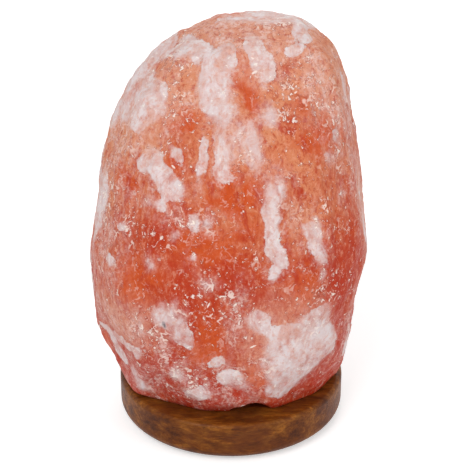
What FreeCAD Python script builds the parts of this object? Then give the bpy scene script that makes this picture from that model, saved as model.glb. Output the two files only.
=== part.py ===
"""Salt crystal lamp: a rough block of salt on a turned wooden base.

The block is sawn flat underneath and drilled up its middle. A lampholder with a small screw-cap
bulb goes up through the base into that hole and is held by two wire wings. Three screws hold the
block to the base.

Millimetres. +Z is up. The origin is on the base's axis, in the plane that the lamp stands on.
The front is -Y, and the cord goes out at the back, +Y.
"""

import FreeCAD
import Part
import math
import os

V = FreeCAD.Vector
ORIGIN = V(0, 0, 0)
UP = V(0, 0, 1)

# ---------------------------------------------------------------- turned wooden base

BASE_DIAMETER = 145.0
BASE_THICKNESS = 25.0
BASE_TOP_ROUND = 3.0
BASE_FOOT_ROUND = 7.0

# felt ring glued under the base; it covers the screws and the cord groove
PAD_THICKNESS = 2.0
PAD_RIM_MARGIN = 2.0
PAD_SCREW_COVER = 0.5

# recess under the base, for the lampholder's flange and wiring cup
RECESS_DEPTH = 15.0
RECESS_CLEARANCE = 2.0

# cord: a groove in the underside, then a bush in a hole through the rim
CORD_DIAMETER = 6.4
CORD_CLEARANCE = 0.2
CORD_HEIGHT = 9.5
GROOVE_WIDTH = 8.0
BUSH_WALL = 1.3
BUSH_LENGTH = 9.0
BUSH_FLANGE_LIP = 0.8
BUSH_FLANGE_THICKNESS = 2.0
BUSH_SEAT_DEPTH = 1.6
BUSH_FIT = 0.1
RIM_LAND = 3.0
# how far a cut runs on past the face that it opens
OVERCUT = 1.0

# ---------------------------------------------------------------- salt block

ROCK_HEIGHT = 236.0
ROCK_WIDTH = 176.5
ROCK_DEPTH = 153.0
# its reach from the base's axis at each height above the base: the height as a share of the
# block's height, left and right as shares of its width, front and back as shares of its depth
ROCK_LEVELS = (
    (0.000, -0.385, 0.363, -0.359, 0.353),
    (0.025, -0.419, 0.397, -0.399, 0.392),
    (0.085, -0.465, 0.431, -0.438, 0.431),
    (0.186, -0.513, 0.439, -0.471, 0.471),
    (0.305, -0.507, 0.465, -0.490, 0.497),
    (0.445, -0.487, 0.487, -0.490, 0.503),
    (0.593, -0.450, 0.465, -0.458, 0.484),
    (0.720, -0.414, 0.436, -0.399, 0.438),
    (0.822, -0.354, 0.411, -0.327, 0.379),
    (0.907, -0.266, 0.371, -0.235, 0.301),
    (0.966, -0.159, 0.317, -0.131, 0.216),
    (1.000, -0.023, 0.244, -0.033, 0.124),
)
ROCK_FULLNESS = 2.3
ROCK_POINTS = 20
# shallow ridges that run up the block and turn slowly as they rise: count, depth, turn in degrees
ROCK_RIDGES = (
    (3, 0.010, 70.0),
    (5, 0.008, -50.0),
)
# flat broken faces: where each one looks (turn from the front, lift above level) and its distance
# from the block's middle, as a share of the block's height
ROCK_MIDDLE_HEIGHT = 115.0
ROCK_FACES = {
    "front, low and right": (34.0, -20.0, 0.400),
    "front, low and left": (-25.0, -30.0, 0.453),
    "left side, low": (-58.0, -14.0, 0.407),
    "right side, low": (75.0, -12.0, 0.394),
    "front right, middle": (52.0, 12.0, 0.345),
    "front, high": (8.0, 38.0, 0.369),
    "front left, high": (-30.0, 30.0, 0.350),
    "left shoulder": (-62.0, 42.0, 0.413),
    "back, high": (170.0, 40.0, 0.407),
    "back, low": (188.0, -30.0, 0.436),
    "back right, middle": (128.0, 8.0, 0.331),
    "back left, middle": (-132.0, 6.0, 0.331),
}
# smaller hewn faces in rows round the block: how far the faces of a row lift above level, how many
# there are, and the turn of the first one; their depths go round in the order of the shares
ROCK_HEWN_ROWS = (
    (-24.0, 8, 12.0),
    (-11.0, 11, 30.0),
    (0.0, 12, 8.0),
    (10.0, 12, 22.0),
    (22.0, 10, 4.0),
    (37.0, 8, 26.0),
    (56.0, 5, 10.0),
)
ROCK_HEWN_DEPTH = 2.8
ROCK_HEWN_SHARES = (0.45, 0.90, 0.60, 0.30, 0.75, 0.50, 1.00, 0.35, 0.65)
# chips off the bottom edge: turn from the front, then distance from the axis, radius, and how far
# the chip's centre lies below the edge, as shares of the block's width
ROCK_CHIPS = (
    (12.0, 0.351, 0.102, 0.057),
    (40.0, 0.442, 0.113, 0.045),
    (-64.0, 0.487, 0.113, 0.045),
    (118.0, 0.453, 0.113, 0.045),
    (205.0, 0.431, 0.125, 0.057),
)

# hole drilled up into the block
CAVITY_DIAMETER = 56.0
CAVITY_DEPTH = 100.0
CAVITY_TIP_ROUND = 8.0

# ---------------------------------------------------------------- screws into the salt

SCREW_COUNT = 3
SCREW_FIRST_TURN = 30.0
SCREW_DIAMETER = 4.0
SCREW_LENGTH = 38.0
SCREW_POINT = 4.0
SCREW_HEAD_DIAMETER = 8.0
SCREW_HEAD_HEIGHT = 2.6
SCREW_HEAD_CHAMFER = 1.0
SCREW_HOLE_CLEARANCE = 0.3
SCREW_SLOT_WIDTH = 1.1
SCREW_SLOT_DEPTH = 1.5
WASHER_DIAMETER = 10.0
WASHER_THICKNESS = 1.0
COUNTERBORE_CLEARANCE = 0.5
COUNTERBORE_DEPTH = 6.0
ANCHOR_DIAMETER = 8.0
ANCHOR_LENGTH = 25.0
ANCHOR_BARB = 0.5
ANCHOR_BARB_PITCH = 3.0
ANCHOR_GRIP = 0.05
GLUE_LINE = 0.1
SALT_BRIDGE = 8.0

# ---------------------------------------------------------------- lampholder

HOLDER_FLANGE_DIAMETER = 54.0
HOLDER_FLANGE_THICKNESS = 2.0
CUP_DIAMETER = 24.0
CUP_BORE_DIAMETER = 19.0
CUP_DEPTH = 11.0
CUP_FLOOR = 2.0
HOLDER_FOOT_DIAMETER = 42.0
HOLDER_FOOT_THICKNESS = 4.0
HOLDER_BORE_CLEARANCE = 1.0
HOLDER_TUBE_DIAMETER = 26.0
HOLDER_CHAMBER_DIAMETER = 21.6
HOLDER_MOUTH_DEPTH = 5.0
HOLDER_LIP = 1.4
MOUTH_CLEARANCE = 1.0
GRIP_RIB_COUNT = 16
GRIP_RIB_RADIUS = 0.6
GRIP_RIB_DROP = 1.0

JOINING_SCREW_SPACING = 36.0
JOINING_SCREW_DIAMETER = 2.5
JOINING_SCREW_GRIP = 3.2
JOINING_HEAD_DIAMETER = 4.6
JOINING_HEAD_HEIGHT = 1.6
SMALL_CLEARANCE = 0.1

CARRIER_THICKNESS = 5.0
CARRIER_CLEARANCE = 0.2
CONTACT_SHEET = 0.4
CONTACT_WIDTH = 4.0
CONTACT_GAP = 0.1
RING_WIDTH = 1.4
RING_FOOT_LENGTH = 5.0
# the tongue's two bends: how far each one is from the axis, and the step up between them
TONGUE_OUTER_BEND = 3.3
TONGUE_INNER_BEND = 1.5
TONGUE_RISE = 1.0
RIVET_DIAMETER = 2.0
RIVET_HEAD_DIAMETER = 3.0
RIVET_HEAD_HEIGHT = 0.5
RIVET_TAIL = 1.5

TERMINAL_SPACING = 10.0
TERMINAL_WIDTH = 4.5
TERMINAL_BREADTH = 7.0
TERMINAL_HEIGHT = 7.0
TERMINAL_WIRE_HOLE = 2.6
TERMINAL_WIRE_DROP = 3.0
TERMINAL_SCREW_DIAMETER = 2.4
TERMINAL_HEAD_DIAMETER = 3.8
TERMINAL_HEAD_HEIGHT = 1.4
TERMINAL_HEAD_GAP = 0.6
TERMINAL_SLOT_DEPTH = 0.6

# wire wings, seen on the right-hand side; the left one is its mirror image
WING_WIRE = 1.4
WING_PIVOT_REACH = 16.5
WING_PIVOT_RISE = 2.8
WING_HALF_WIDTH = 6.2
WING_PIN_ENGAGEMENT = 4.0
WING_BOW_REACH = 19.4
WING_BOW_RISE = 7.0
WING_TOP_REACH = 16.5
WING_TOP_RISE = 17.0
WING_PIN_BEND = 1.0
WING_BEND = 2.5
WING_RUNNING_FIT = 0.05
EAR_WIDTH = 9.0
EAR_DEPTH = 4.0
EAR_HEIGHT = 5.0

# ---------------------------------------------------------------- bulb with a small Edison screw cap

THREAD_PITCH = 2.822
THREAD_DIAMETER = 13.89
THREAD_DEPTH = 0.8
THREAD_CLEARANCE = 0.15
CAP_SHEET = 0.3
SHELL_SHEET = 0.35
SHELL_LENGTH = 13.5
SHELL_SEAT_GAP = 0.1
BULB_LENGTH = 57.0
TIP_DIAMETER = 4.8
TIP_HEIGHT = 1.5
INSULATOR_HEIGHT = 3.4
INSULATOR_OVERLAP = 0.6
INSULATOR_LIP = 0.4
CAP_THREAD_LENGTH = 13.5
CAP_COLLAR_WALL = 0.05
CAP_SKIRT_RISE = 0.6
CAP_SKIRT_DIAMETER = 16.4
CAP_SKIRT_LENGTH = 6.0
GLASS_DIAMETER = 26.0
GLASS_WALL = 0.6
GLASS_NECK_DIAMETER = 13.6
GLASS_NECK_LENGTH = 7.0
GLASS_SHOULDER_ANGLE = 40.0
CEMENT_GAP = 0.05
STEM_FLARE = 0.05
STEM_DIAMETER = 4.4
STEM_HEIGHT = 15.0
STEM_FOOT = 1.2
STEM_FLARE_HEIGHT = 5.0
STEM_RIM = 1.0
LEAD_DIAMETER = 0.5
LEAD_SPACING = 2.4
LEAD_SPREAD = 12.0
LEAD_RISE = 9.0
LEAD_TAIL = 4.0
LEAD_BEND = 1.5
LEAD_END = 0.6
LEAD_UPRIGHT = 3.0
LEAD_SEAL_GAP = 0.02
FILAMENT_COIL_DIAMETER = 0.9
FILAMENT_WIRE = 0.2
FILAMENT_PITCH = 0.6
FILAMENT_END_GAP = 0.02
SUPPORT_DIAMETER = 0.4
SUPPORT_EYE_GAP = 0.15

# ---------------------------------------------------------------- heights and radii that follow

BASE_BOTTOM = PAD_THICKNESS
BASE_TOP = BASE_BOTTOM + BASE_THICKNESS
HOLDER_SEAT = BASE_BOTTOM + RECESS_DEPTH
FLANGE_BOTTOM = HOLDER_SEAT - HOLDER_FLANGE_THICKNESS
CUP_BOTTOM = FLANGE_BOTTOM - CUP_DEPTH
FOOT_TOP = HOLDER_SEAT + HOLDER_FOOT_THICKNESS

BASE_BORE_RADIUS = HOLDER_FOOT_DIAMETER / 2 + HOLDER_BORE_CLEARANCE
RECESS_RADIUS = HOLDER_FLANGE_DIAMETER / 2 + RECESS_CLEARANCE
COUNTERBORE_RADIUS = WASHER_DIAMETER / 2 + COUNTERBORE_CLEARANCE
SCREW_CIRCLE_RADIUS = CAVITY_DIAMETER / 2 + SALT_BRIDGE + ANCHOR_DIAMETER / 2
WASHER_BOTTOM = BASE_BOTTOM + COUNTERBORE_DEPTH - WASHER_THICKNESS

CORD_HOLE_RADIUS = CORD_DIAMETER / 2 + CORD_CLEARANCE
BUSH_RADIUS = CORD_HOLE_RADIUS + BUSH_WALL
BUSH_FLANGE_RADIUS = BUSH_RADIUS + BUSH_FLANGE_LIP
BUSH_SEAT = BASE_DIAMETER / 2 - BUSH_SEAT_DEPTH
GROOVE_END = BUSH_SEAT - BUSH_LENGTH - RIM_LAND

CARRIER_RADIUS = HOLDER_CHAMBER_DIAMETER / 2 - CARRIER_CLEARANCE
CARRIER_TOP = HOLDER_SEAT + CARRIER_THICKNESS
CONTACT_TOP = CARRIER_TOP + CONTACT_SHEET
TONGUE_TOP = CONTACT_TOP + TONGUE_RISE
TIP_BOTTOM = TONGUE_TOP + CONTACT_GAP
CAP_THREAD_BOTTOM = TIP_BOTTOM + TIP_HEIGHT + INSULATOR_HEIGHT - INSULATOR_OVERLAP
CAP_THREAD_TOP = CAP_THREAD_BOTTOM + CAP_THREAD_LENGTH
CAP_SKIRT_BOTTOM = CAP_THREAD_TOP + CAP_SKIRT_RISE
CAP_TOP = CAP_SKIRT_BOTTOM + CAP_SKIRT_LENGTH
SHELL_TOP = CAP_THREAD_TOP - HOLDER_LIP
SHELL_BOTTOM = SHELL_TOP - SHELL_LENGTH
LIP_TOP = CAP_THREAD_TOP - SHELL_SEAT_GAP
HOLDER_TOP = LIP_TOP + HOLDER_MOUTH_DEPTH

# a rolled thread is round: each level section is a circle whose centre winds round the axis
THREAD_OFFSET = THREAD_DEPTH / 2
CAP_SECTION_RADIUS = THREAD_DIAMETER / 2 - THREAD_OFFSET
SHELL_SECTION_RADIUS = CAP_SECTION_RADIUS + THREAD_CLEARANCE
SHELL_REACH = SHELL_SECTION_RADIUS + SHELL_SHEET + THREAD_OFFSET

GLASS_BOTTOM = CAP_SKIRT_BOTTOM
GLASS_TOP = TIP_BOTTOM + BULB_LENGTH
STEM_TOP = GLASS_BOTTOM + STEM_HEIGHT
FILAMENT_HEIGHT = STEM_TOP + LEAD_RISE


# ---------------------------------------------------------------- shapes used again and again


def rod(radius, low, high, x=0.0, y=0.0):
    """An upright cylinder."""
    return Part.makeCylinder(radius, high - low, V(x, y, low), UP)


def tube(outer, inner, low, high, x=0.0, y=0.0):
    return rod(outer, low, high, x, y).cut(rod(inner, low, high, x, y))


def block(x_low, x_high, y_low, y_high, z_low, z_high):
    size = (x_high - x_low, y_high - y_low, z_high - z_low)
    return Part.makeBox(*size, V(x_low, y_low, z_low))


def rod_along_y(radius, y_low, y_high, x, z):
    return Part.makeCylinder(radius, y_high - y_low, V(x, y_low, z), V(0, 1, 0))


def turned(points):
    """A solid of revolution about the axis, from the corners (radius, height) of its section."""
    corners = [V(radius, 0, height) for radius, height in points]
    section = Part.Face(Part.makePolygon(corners + corners[:1]))
    return section.revolve(ORIGIN, UP, 360)


def turned_from_edges(edges):
    wire = Part.Wire(Part.__sortEdges__(edges))
    return Part.Face(wire).revolve(ORIGIN, UP, 360)


def line(start, end):
    return Part.LineSegment(start, end).toShape()


def bent_path(points, bends):
    """Straight runs through the points, joined by arcs that are tangent to both runs."""
    edges = []
    start = points[0]
    for i in range(1, len(points) - 1):
        corner = points[i]
        back = (points[i - 1] - corner).normalize()
        ahead = (points[i + 1] - corner).normalize()
        half_angle = back.getAngle(ahead) / 2
        radius = bends[i - 1]
        trim = radius / math.tan(half_angle)
        inward = (back + ahead).normalize()
        centre = corner + inward * (radius / math.sin(half_angle))
        arc_start = corner + back * trim
        arc_end = corner + ahead * trim
        arc_middle = centre - inward * radius
        edges.append(line(start, arc_start))
        edges.append(Part.Arc(arc_start, arc_middle, arc_end).toShape())
        start = arc_end
    edges.append(line(start, points[-1]))
    return Part.Wire(edges)


def wire_along(path, radius):
    """A round wire that follows a path."""
    first = path.OrderedEdges[0]
    start = first.valueAt(first.FirstParameter)
    direction = first.tangentAt(first.FirstParameter)
    section = Part.Wire(Part.makeCircle(radius, start, direction))
    sweep = Part.BRepOffsetAPI.MakePipeShell(path)
    sweep.add(section)
    sweep.build()
    sweep.makeSolid()
    return sweep.shape()


def thread_form(radius, low, high):
    """A solid with a round thread outside, in step with every other thread here."""
    centres = Part.makeHelix(THREAD_PITCH, high - low, THREAD_OFFSET)
    section = Part.Wire(Part.makeCircle(radius, V(THREAD_OFFSET, 0, 0), UP))
    sweep = Part.BRepOffsetAPI.MakePipeShell(Part.Wire(centres.Edges))
    sweep.setTrihedronMode(ORIGIN, UP)
    sweep.add(section)
    sweep.build()
    sweep.makeSolid()
    form = sweep.shape()
    form.rotate(ORIGIN, UP, 360.0 * low / THREAD_PITCH)
    form.translate(V(0, 0, low))
    return form


def mirrored_left(shape):
    return shape.mirror(ORIGIN, V(1, 0, 0))


def screw_places():
    places = []
    for i in range(SCREW_COUNT):
        turn = math.radians(SCREW_FIRST_TURN + 360.0 * i / SCREW_COUNT)
        places.append((SCREW_CIRCLE_RADIUS * math.cos(turn), SCREW_CIRCLE_RADIUS * math.sin(turn)))
    return places


def joining_places():
    return ((0.0, -JOINING_SCREW_SPACING / 2), (0.0, JOINING_SCREW_SPACING / 2))


def terminal_places():
    return (-TERMINAL_SPACING / 2, TERMINAL_SPACING / 2)


# ---------------------------------------------------------------- salt block


def rock_points(height, left, right, front, back):
    """Points round the block before any face is broken off, at one of its levels."""
    middle_x, half_x = (left + right) / 2 * ROCK_WIDTH, (right - left) / 2 * ROCK_WIDTH
    middle_y, half_y = (front + back) / 2 * ROCK_DEPTH, (back - front) / 2 * ROCK_DEPTH
    power = 2.0 / ROCK_FULLNESS
    points = []
    for step in range(ROCK_POINTS):
        turn = 2.0 * math.pi * step / ROCK_POINTS
        swell = 1.0
        for count, depth, twist in ROCK_RIDGES:
            swell += depth * math.cos(count * turn + math.radians(twist) * height * count)
        x = math.copysign(abs(math.cos(turn)) ** power, math.cos(turn)) * half_x * swell
        y = math.copysign(abs(math.sin(turn)) ** power, math.sin(turn)) * half_y * swell
        points.append(V(middle_x + x, middle_y + y, BASE_TOP + height * ROCK_HEIGHT))
    return points


def rock_outline(points):
    curve = Part.BSplineCurve()
    curve.interpolate(points, PeriodicFlag=True)
    return Part.Wire(curve.toShape())


def outward(turn, lift):
    """Where a face looks: its turn from the front and its lift above level, in degrees."""
    turn, lift = math.radians(turn), math.radians(lift)
    level = math.cos(lift)
    return V(math.sin(turn) * level, -math.cos(turn) * level, math.sin(lift))


def broken_away(looks, distance):
    """The space beyond one flat broken face, at a distance from the block's middle."""
    reach = 4.0 * ROCK_HEIGHT
    slab = Part.makeBox(reach, reach, reach, V(-reach / 2, -reach / 2, 0))
    middle = V(0, 0, BASE_TOP + ROCK_MIDDLE_HEIGHT)
    turned_out = FreeCAD.Placement(middle + looks * distance, FreeCAD.Rotation(UP, looks))
    slab.Placement = turned_out.multiply(slab.Placement)
    return slab


def hewn_rows(points):
    """The smaller faces, row by row: each one at its own depth under the farthest point that way."""
    middle = V(0, 0, BASE_TOP + ROCK_MIDDLE_HEIGHT)
    rows = []
    placed = 0
    for lift, count, first in ROCK_HEWN_ROWS:
        row = []
        for i in range(count):
            looks = outward(first + 360.0 * i / count, lift)
            reach = max((point - middle).dot(looks) for point in points)
            share = ROCK_HEWN_SHARES[placed % len(ROCK_HEWN_SHARES)]
            row.append(broken_away(looks, reach - share * ROCK_HEWN_DEPTH))
            placed += 1
        rows.append(row)
    return rows


def flat_sided(faces):
    """A block with these broken faces, and larger than the rock everywhere else."""
    shape = block(-ROCK_WIDTH, ROCK_WIDTH, -ROCK_DEPTH, ROCK_DEPTH, BASE_TOP, 2 * ROCK_HEIGHT)
    for beyond in faces:
        shape = shape.cut(beyond)
    return shape


def chip(turn, distance, radius, drop):
    turn = math.radians(turn)
    away = distance * ROCK_WIDTH
    centre = V(math.sin(turn) * away, -math.cos(turn) * away, BASE_TOP - drop * ROCK_WIDTH)
    return Part.makeSphere(radius * ROCK_WIDTH, centre)


def drilled_cavity():
    low, high = BASE_TOP, BASE_TOP + CAVITY_DEPTH
    hole = rod(CAVITY_DIAMETER / 2, low, high)
    rim = [edge for edge in hole.Edges if round(edge.BoundBox.ZMin, 3) == round(high, 3)]
    return hole.makeFillet(CAVITY_TIP_ROUND, rim)


def salt_crystal():
    levels = [rock_points(*level) for level in ROCK_LEVELS]
    rock = Part.makeLoft([rock_outline(points) for points in levels], True, False)
    large = []
    for turn, lift, share in ROCK_FACES.values():
        large.append(broken_away(outward(turn, lift), share * ROCK_HEIGHT))
    for faces in [large] + hewn_rows([point for points in levels for point in points]):
        rock = rock.common(flat_sided(faces))
    for place in ROCK_CHIPS:
        rock = rock.cut(chip(*place))
    rock = rock.cut(drilled_cavity())
    hole_radius = ANCHOR_DIAMETER / 2 + GLUE_LINE
    for x, y in screw_places():
        rock = rock.cut(rod(hole_radius, BASE_TOP, BASE_TOP + ANCHOR_LENGTH + GLUE_LINE, x, y))
    return rock


# ---------------------------------------------------------------- base and what is fixed to it


def wood_base():
    disc = rod(BASE_DIAMETER / 2, BASE_BOTTOM, BASE_TOP)
    rims = {round(edge.BoundBox.ZMin, 3): edge for edge in disc.Edges if edge.Closed}
    disc = disc.makeFillet(BASE_TOP_ROUND, [rims[round(BASE_TOP, 3)]])
    rims = {round(edge.BoundBox.ZMax, 3): edge for edge in disc.Edges if edge.Closed}
    disc = disc.makeFillet(BASE_FOOT_ROUND, [rims[round(BASE_BOTTOM, 3)]])
    disc = disc.cut(rod(BASE_BORE_RADIUS, BASE_BOTTOM, BASE_TOP))
    disc = disc.cut(rod(RECESS_RADIUS, BASE_BOTTOM, HOLDER_SEAT))
    groove = block(-GROOVE_WIDTH / 2, GROOVE_WIDTH / 2, 0, GROOVE_END, BASE_BOTTOM, CORD_HEIGHT)
    groove = groove.fuse(rod_along_y(GROOVE_WIDTH / 2, 0, GROOVE_END, 0, CORD_HEIGHT))
    disc = disc.cut(groove)
    rim = BASE_DIAMETER / 2
    disc = disc.cut(rod_along_y(BUSH_RADIUS + BUSH_FIT, GROOVE_END - OVERCUT, rim, 0, CORD_HEIGHT))
    flange_seat = BUSH_FLANGE_RADIUS + BUSH_FIT
    disc = disc.cut(rod_along_y(flange_seat, BUSH_SEAT, rim + OVERCUT, 0, CORD_HEIGHT))
    shank_hole = SCREW_DIAMETER / 2 + SCREW_HOLE_CLEARANCE
    for x, y in screw_places():
        disc = disc.cut(rod(shank_hole, BASE_BOTTOM, BASE_TOP, x, y))
        disc = disc.cut(rod(COUNTERBORE_RADIUS, BASE_BOTTOM, BASE_BOTTOM + COUNTERBORE_DEPTH, x, y))
    return disc


def felt_pad():
    outer = BASE_DIAMETER / 2 - BASE_FOOT_ROUND - PAD_RIM_MARGIN
    inner = SCREW_CIRCLE_RADIUS - COUNTERBORE_RADIUS - PAD_SCREW_COVER
    return tube(outer, inner, 0.0, PAD_THICKNESS)


def base_screws():
    screws = []
    head_bottom = WASHER_BOTTOM - SCREW_HEAD_HEIGHT
    point = WASHER_BOTTOM + SCREW_LENGTH
    for x, y in screw_places():
        screw = turned((
            (0, head_bottom),
            (SCREW_HEAD_DIAMETER / 2 - SCREW_HEAD_CHAMFER, head_bottom),
            (SCREW_HEAD_DIAMETER / 2, head_bottom + SCREW_HEAD_CHAMFER),
            (SCREW_HEAD_DIAMETER / 2, WASHER_BOTTOM),
            (SCREW_DIAMETER / 2, WASHER_BOTTOM),
            (SCREW_DIAMETER / 2, point - SCREW_POINT),
            (0, point),
        ))
        for long_x in (True, False):
            arm_x = SCREW_HEAD_DIAMETER / 4 if long_x else SCREW_SLOT_WIDTH / 2
            arm_y = SCREW_SLOT_WIDTH / 2 if long_x else SCREW_HEAD_DIAMETER / 4
            slot_top = head_bottom + SCREW_SLOT_DEPTH
            screw = screw.cut(block(-arm_x, arm_x, -arm_y, arm_y, head_bottom, slot_top))
        screws.append(screw.translated(V(x, y, 0)))
    return Part.Compound(screws)


def screw_washers():
    inner = SCREW_DIAMETER / 2 + SCREW_HOLE_CLEARANCE
    low, high = WASHER_BOTTOM, WASHER_BOTTOM + WASHER_THICKNESS
    return Part.Compound([tube(WASHER_DIAMETER / 2, inner, low, high, x, y) for x, y in screw_places()])


def salt_anchors():
    """Barbed plugs: a row of cones, each one narrow at its upper end."""
    crest = ANCHOR_DIAMETER / 2
    root = crest - ANCHOR_BARB
    hole = SCREW_DIAMETER / 2 + ANCHOR_GRIP
    section = [(hole, BASE_TOP), (crest, BASE_TOP)]
    for i in range(int(ANCHOR_LENGTH / ANCHOR_BARB_PITCH)):
        top = BASE_TOP + (i + 1) * ANCHOR_BARB_PITCH
        section.append((root, top))
        section.append((crest, top))
    section[-1] = (root, BASE_TOP + ANCHOR_LENGTH)
    section.append((hole, BASE_TOP + ANCHOR_LENGTH))
    plug = turned(section)
    return Part.Compound([plug.translated(V(x, y, 0)) for x, y in screw_places()])


def cord_bush():
    inner_end = BUSH_SEAT - BUSH_LENGTH
    outer_end = BUSH_SEAT + BUSH_FLANGE_THICKNESS
    bush = rod_along_y(BUSH_RADIUS, inner_end, BUSH_SEAT, 0, CORD_HEIGHT)
    bush = bush.fuse(rod_along_y(BUSH_FLANGE_RADIUS, BUSH_SEAT, outer_end, 0, CORD_HEIGHT))
    return bush.cut(rod_along_y(CORD_HOLE_RADIUS, inner_end, outer_end, 0, CORD_HEIGHT))


# ---------------------------------------------------------------- lampholder


def holder_cap():
    cap = rod(CUP_DIAMETER / 2, CUP_BOTTOM, FLANGE_BOTTOM)
    cap = cap.fuse(rod(HOLDER_FLANGE_DIAMETER / 2, FLANGE_BOTTOM, HOLDER_SEAT))
    cap = cap.cut(rod(CUP_BORE_DIAMETER / 2, CUP_BOTTOM + CUP_FLOOR, HOLDER_SEAT))
    cap = cap.cut(rod_along_y(CORD_HOLE_RADIUS, 0, CUP_DIAMETER, 0, CORD_HEIGHT))
    for x, y in joining_places():
        hole = JOINING_SCREW_DIAMETER / 2 + SMALL_CLEARANCE
        cap = cap.cut(rod(hole, FLANGE_BOTTOM, HOLDER_SEAT, x, y))
    return cap


def holder_body():
    tube_radius = HOLDER_TUBE_DIAMETER / 2
    mouth = CAP_SKIRT_DIAMETER / 2 + MOUTH_CLEARANCE
    lip = CAP_SECTION_RADIUS + THREAD_OFFSET + THREAD_CLEARANCE
    seat = SHELL_REACH + CARRIER_CLEARANCE
    chamber = HOLDER_CHAMBER_DIAMETER / 2
    body = rod(HOLDER_FOOT_DIAMETER / 2, HOLDER_SEAT, FOOT_TOP)
    body = body.fuse(rod(tube_radius, FOOT_TOP, HOLDER_TOP))
    for i in range(GRIP_RIB_COUNT):
        turn = 2.0 * math.pi * (i + 0.5) / GRIP_RIB_COUNT
        x, y = tube_radius * math.cos(turn), tube_radius * math.sin(turn)
        rib = rod(GRIP_RIB_RADIUS, LIP_TOP - GRIP_RIB_DROP, HOLDER_TOP - GRIP_RIB_DROP, x, y)
        body = body.fuse(rib)
    ear_x = WING_PIVOT_REACH - EAR_DEPTH / 2
    ear = block(ear_x, ear_x + EAR_DEPTH, -EAR_WIDTH / 2, EAR_WIDTH / 2, FOOT_TOP, FOOT_TOP + EAR_HEIGHT)
    pin_hole = WING_WIRE / 2 + WING_RUNNING_FIT
    pivot = FOOT_TOP + WING_PIVOT_RISE
    ear = ear.cut(rod_along_y(pin_hole, -EAR_WIDTH / 2, EAR_WIDTH / 2, WING_PIVOT_REACH, pivot))
    body = body.fuse(ear).fuse(mirrored_left(ear))
    body = body.cut(rod(chamber, HOLDER_SEAT, SHELL_BOTTOM))
    body = body.cut(rod(seat, SHELL_BOTTOM, SHELL_TOP + SHELL_SEAT_GAP))
    body = body.cut(rod(lip, SHELL_TOP, LIP_TOP))
    body = body.cut(rod(mouth, LIP_TOP, HOLDER_TOP))
    for x, y in joining_places():
        body = body.cut(rod(JOINING_SCREW_DIAMETER / 2, HOLDER_SEAT, HOLDER_SEAT + JOINING_SCREW_GRIP, x, y))
    return body.removeSplitter()


def cap_screws():
    screws = []
    for x, y in joining_places():
        head = rod(JOINING_HEAD_DIAMETER / 2, FLANGE_BOTTOM - JOINING_HEAD_HEIGHT, FLANGE_BOTTOM, x, y)
        top = HOLDER_SEAT + JOINING_SCREW_GRIP
        screw = head.fuse(rod(JOINING_SCREW_DIAMETER / 2, FLANGE_BOTTOM, top, x, y))
        half = SCREW_SLOT_WIDTH / 2
        low = FLANGE_BOTTOM - JOINING_HEAD_HEIGHT
        reach = JOINING_HEAD_DIAMETER / 2
        slot = block(x - reach, x + reach, y - half, y + half, low, low + JOINING_HEAD_HEIGHT / 2)
        screws.append(screw.cut(slot))
    return Part.Compound(screws)


def contact_carrier():
    disc = rod(CARRIER_RADIUS, HOLDER_SEAT, CARRIER_TOP)
    for x in terminal_places():
        disc = disc.cut(rod(RIVET_DIAMETER / 2, HOLDER_SEAT, CARRIER_TOP, x))
    return disc


def screw_shell():
    outer = thread_form(SHELL_SECTION_RADIUS + SHELL_SHEET, SHELL_BOTTOM, SHELL_TOP)
    return outer.cut(thread_form(SHELL_SECTION_RADIUS, SHELL_BOTTOM, SHELL_TOP))


def shell_contact():
    """A ring under the shell, on a leg that stands on the carrier."""
    outer = SHELL_REACH
    inner = outer - RING_WIDTH
    half = CONTACT_WIDTH / 2
    ring = tube(outer, inner, SHELL_BOTTOM - CONTACT_SHEET, SHELL_BOTTOM)
    leg = block(-outer, -outer + CONTACT_SHEET * 2, -half, half, CARRIER_TOP, SHELL_BOTTOM)
    leg = leg.common(rod(outer, CARRIER_TOP, SHELL_BOTTOM))
    foot = block(-outer, -outer + RING_FOOT_LENGTH, -half, half, CARRIER_TOP, CONTACT_TOP)
    foot = foot.common(rod(outer, CARRIER_TOP, SHELL_BOTTOM))
    foot = foot.cut(rod(RIVET_DIAMETER / 2, CARRIER_TOP, CONTACT_TOP, -TERMINAL_SPACING / 2))
    return ring.fuse(leg).fuse(foot).removeSplitter()


def centre_contact():
    half = CONTACT_WIDTH / 2
    end = TERMINAL_SPACING / 2 + RIVET_HEAD_DIAMETER
    under = TONGUE_TOP - CONTACT_SHEET
    skew = CONTACT_SHEET / 4
    corners = (
        (end, CARRIER_TOP),
        (TONGUE_OUTER_BEND + skew, CARRIER_TOP),
        (TONGUE_INNER_BEND + skew, under),
        (-half, under),
        (-half, TONGUE_TOP),
        (TONGUE_INNER_BEND - skew, TONGUE_TOP),
        (TONGUE_OUTER_BEND - skew, CONTACT_TOP),
        (end, CONTACT_TOP),
    )
    points = [V(x, -half, z) for x, z in corners]
    strip = Part.Face(Part.makePolygon(points + points[:1])).extrude(V(0, CONTACT_WIDTH, 0))
    return strip.cut(rod(RIVET_DIAMETER / 2, CARRIER_TOP, CONTACT_TOP, TERMINAL_SPACING / 2))


def contact_rivets():
    rivets = []
    for x in terminal_places():
        shank = rod(RIVET_DIAMETER / 2, HOLDER_SEAT - RIVET_TAIL, CONTACT_TOP, x)
        head = rod(RIVET_HEAD_DIAMETER / 2, CONTACT_TOP, CONTACT_TOP + RIVET_HEAD_HEIGHT, x)
        rivets.append(shank.fuse(head).removeSplitter())
    return Part.Compound(rivets)


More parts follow.
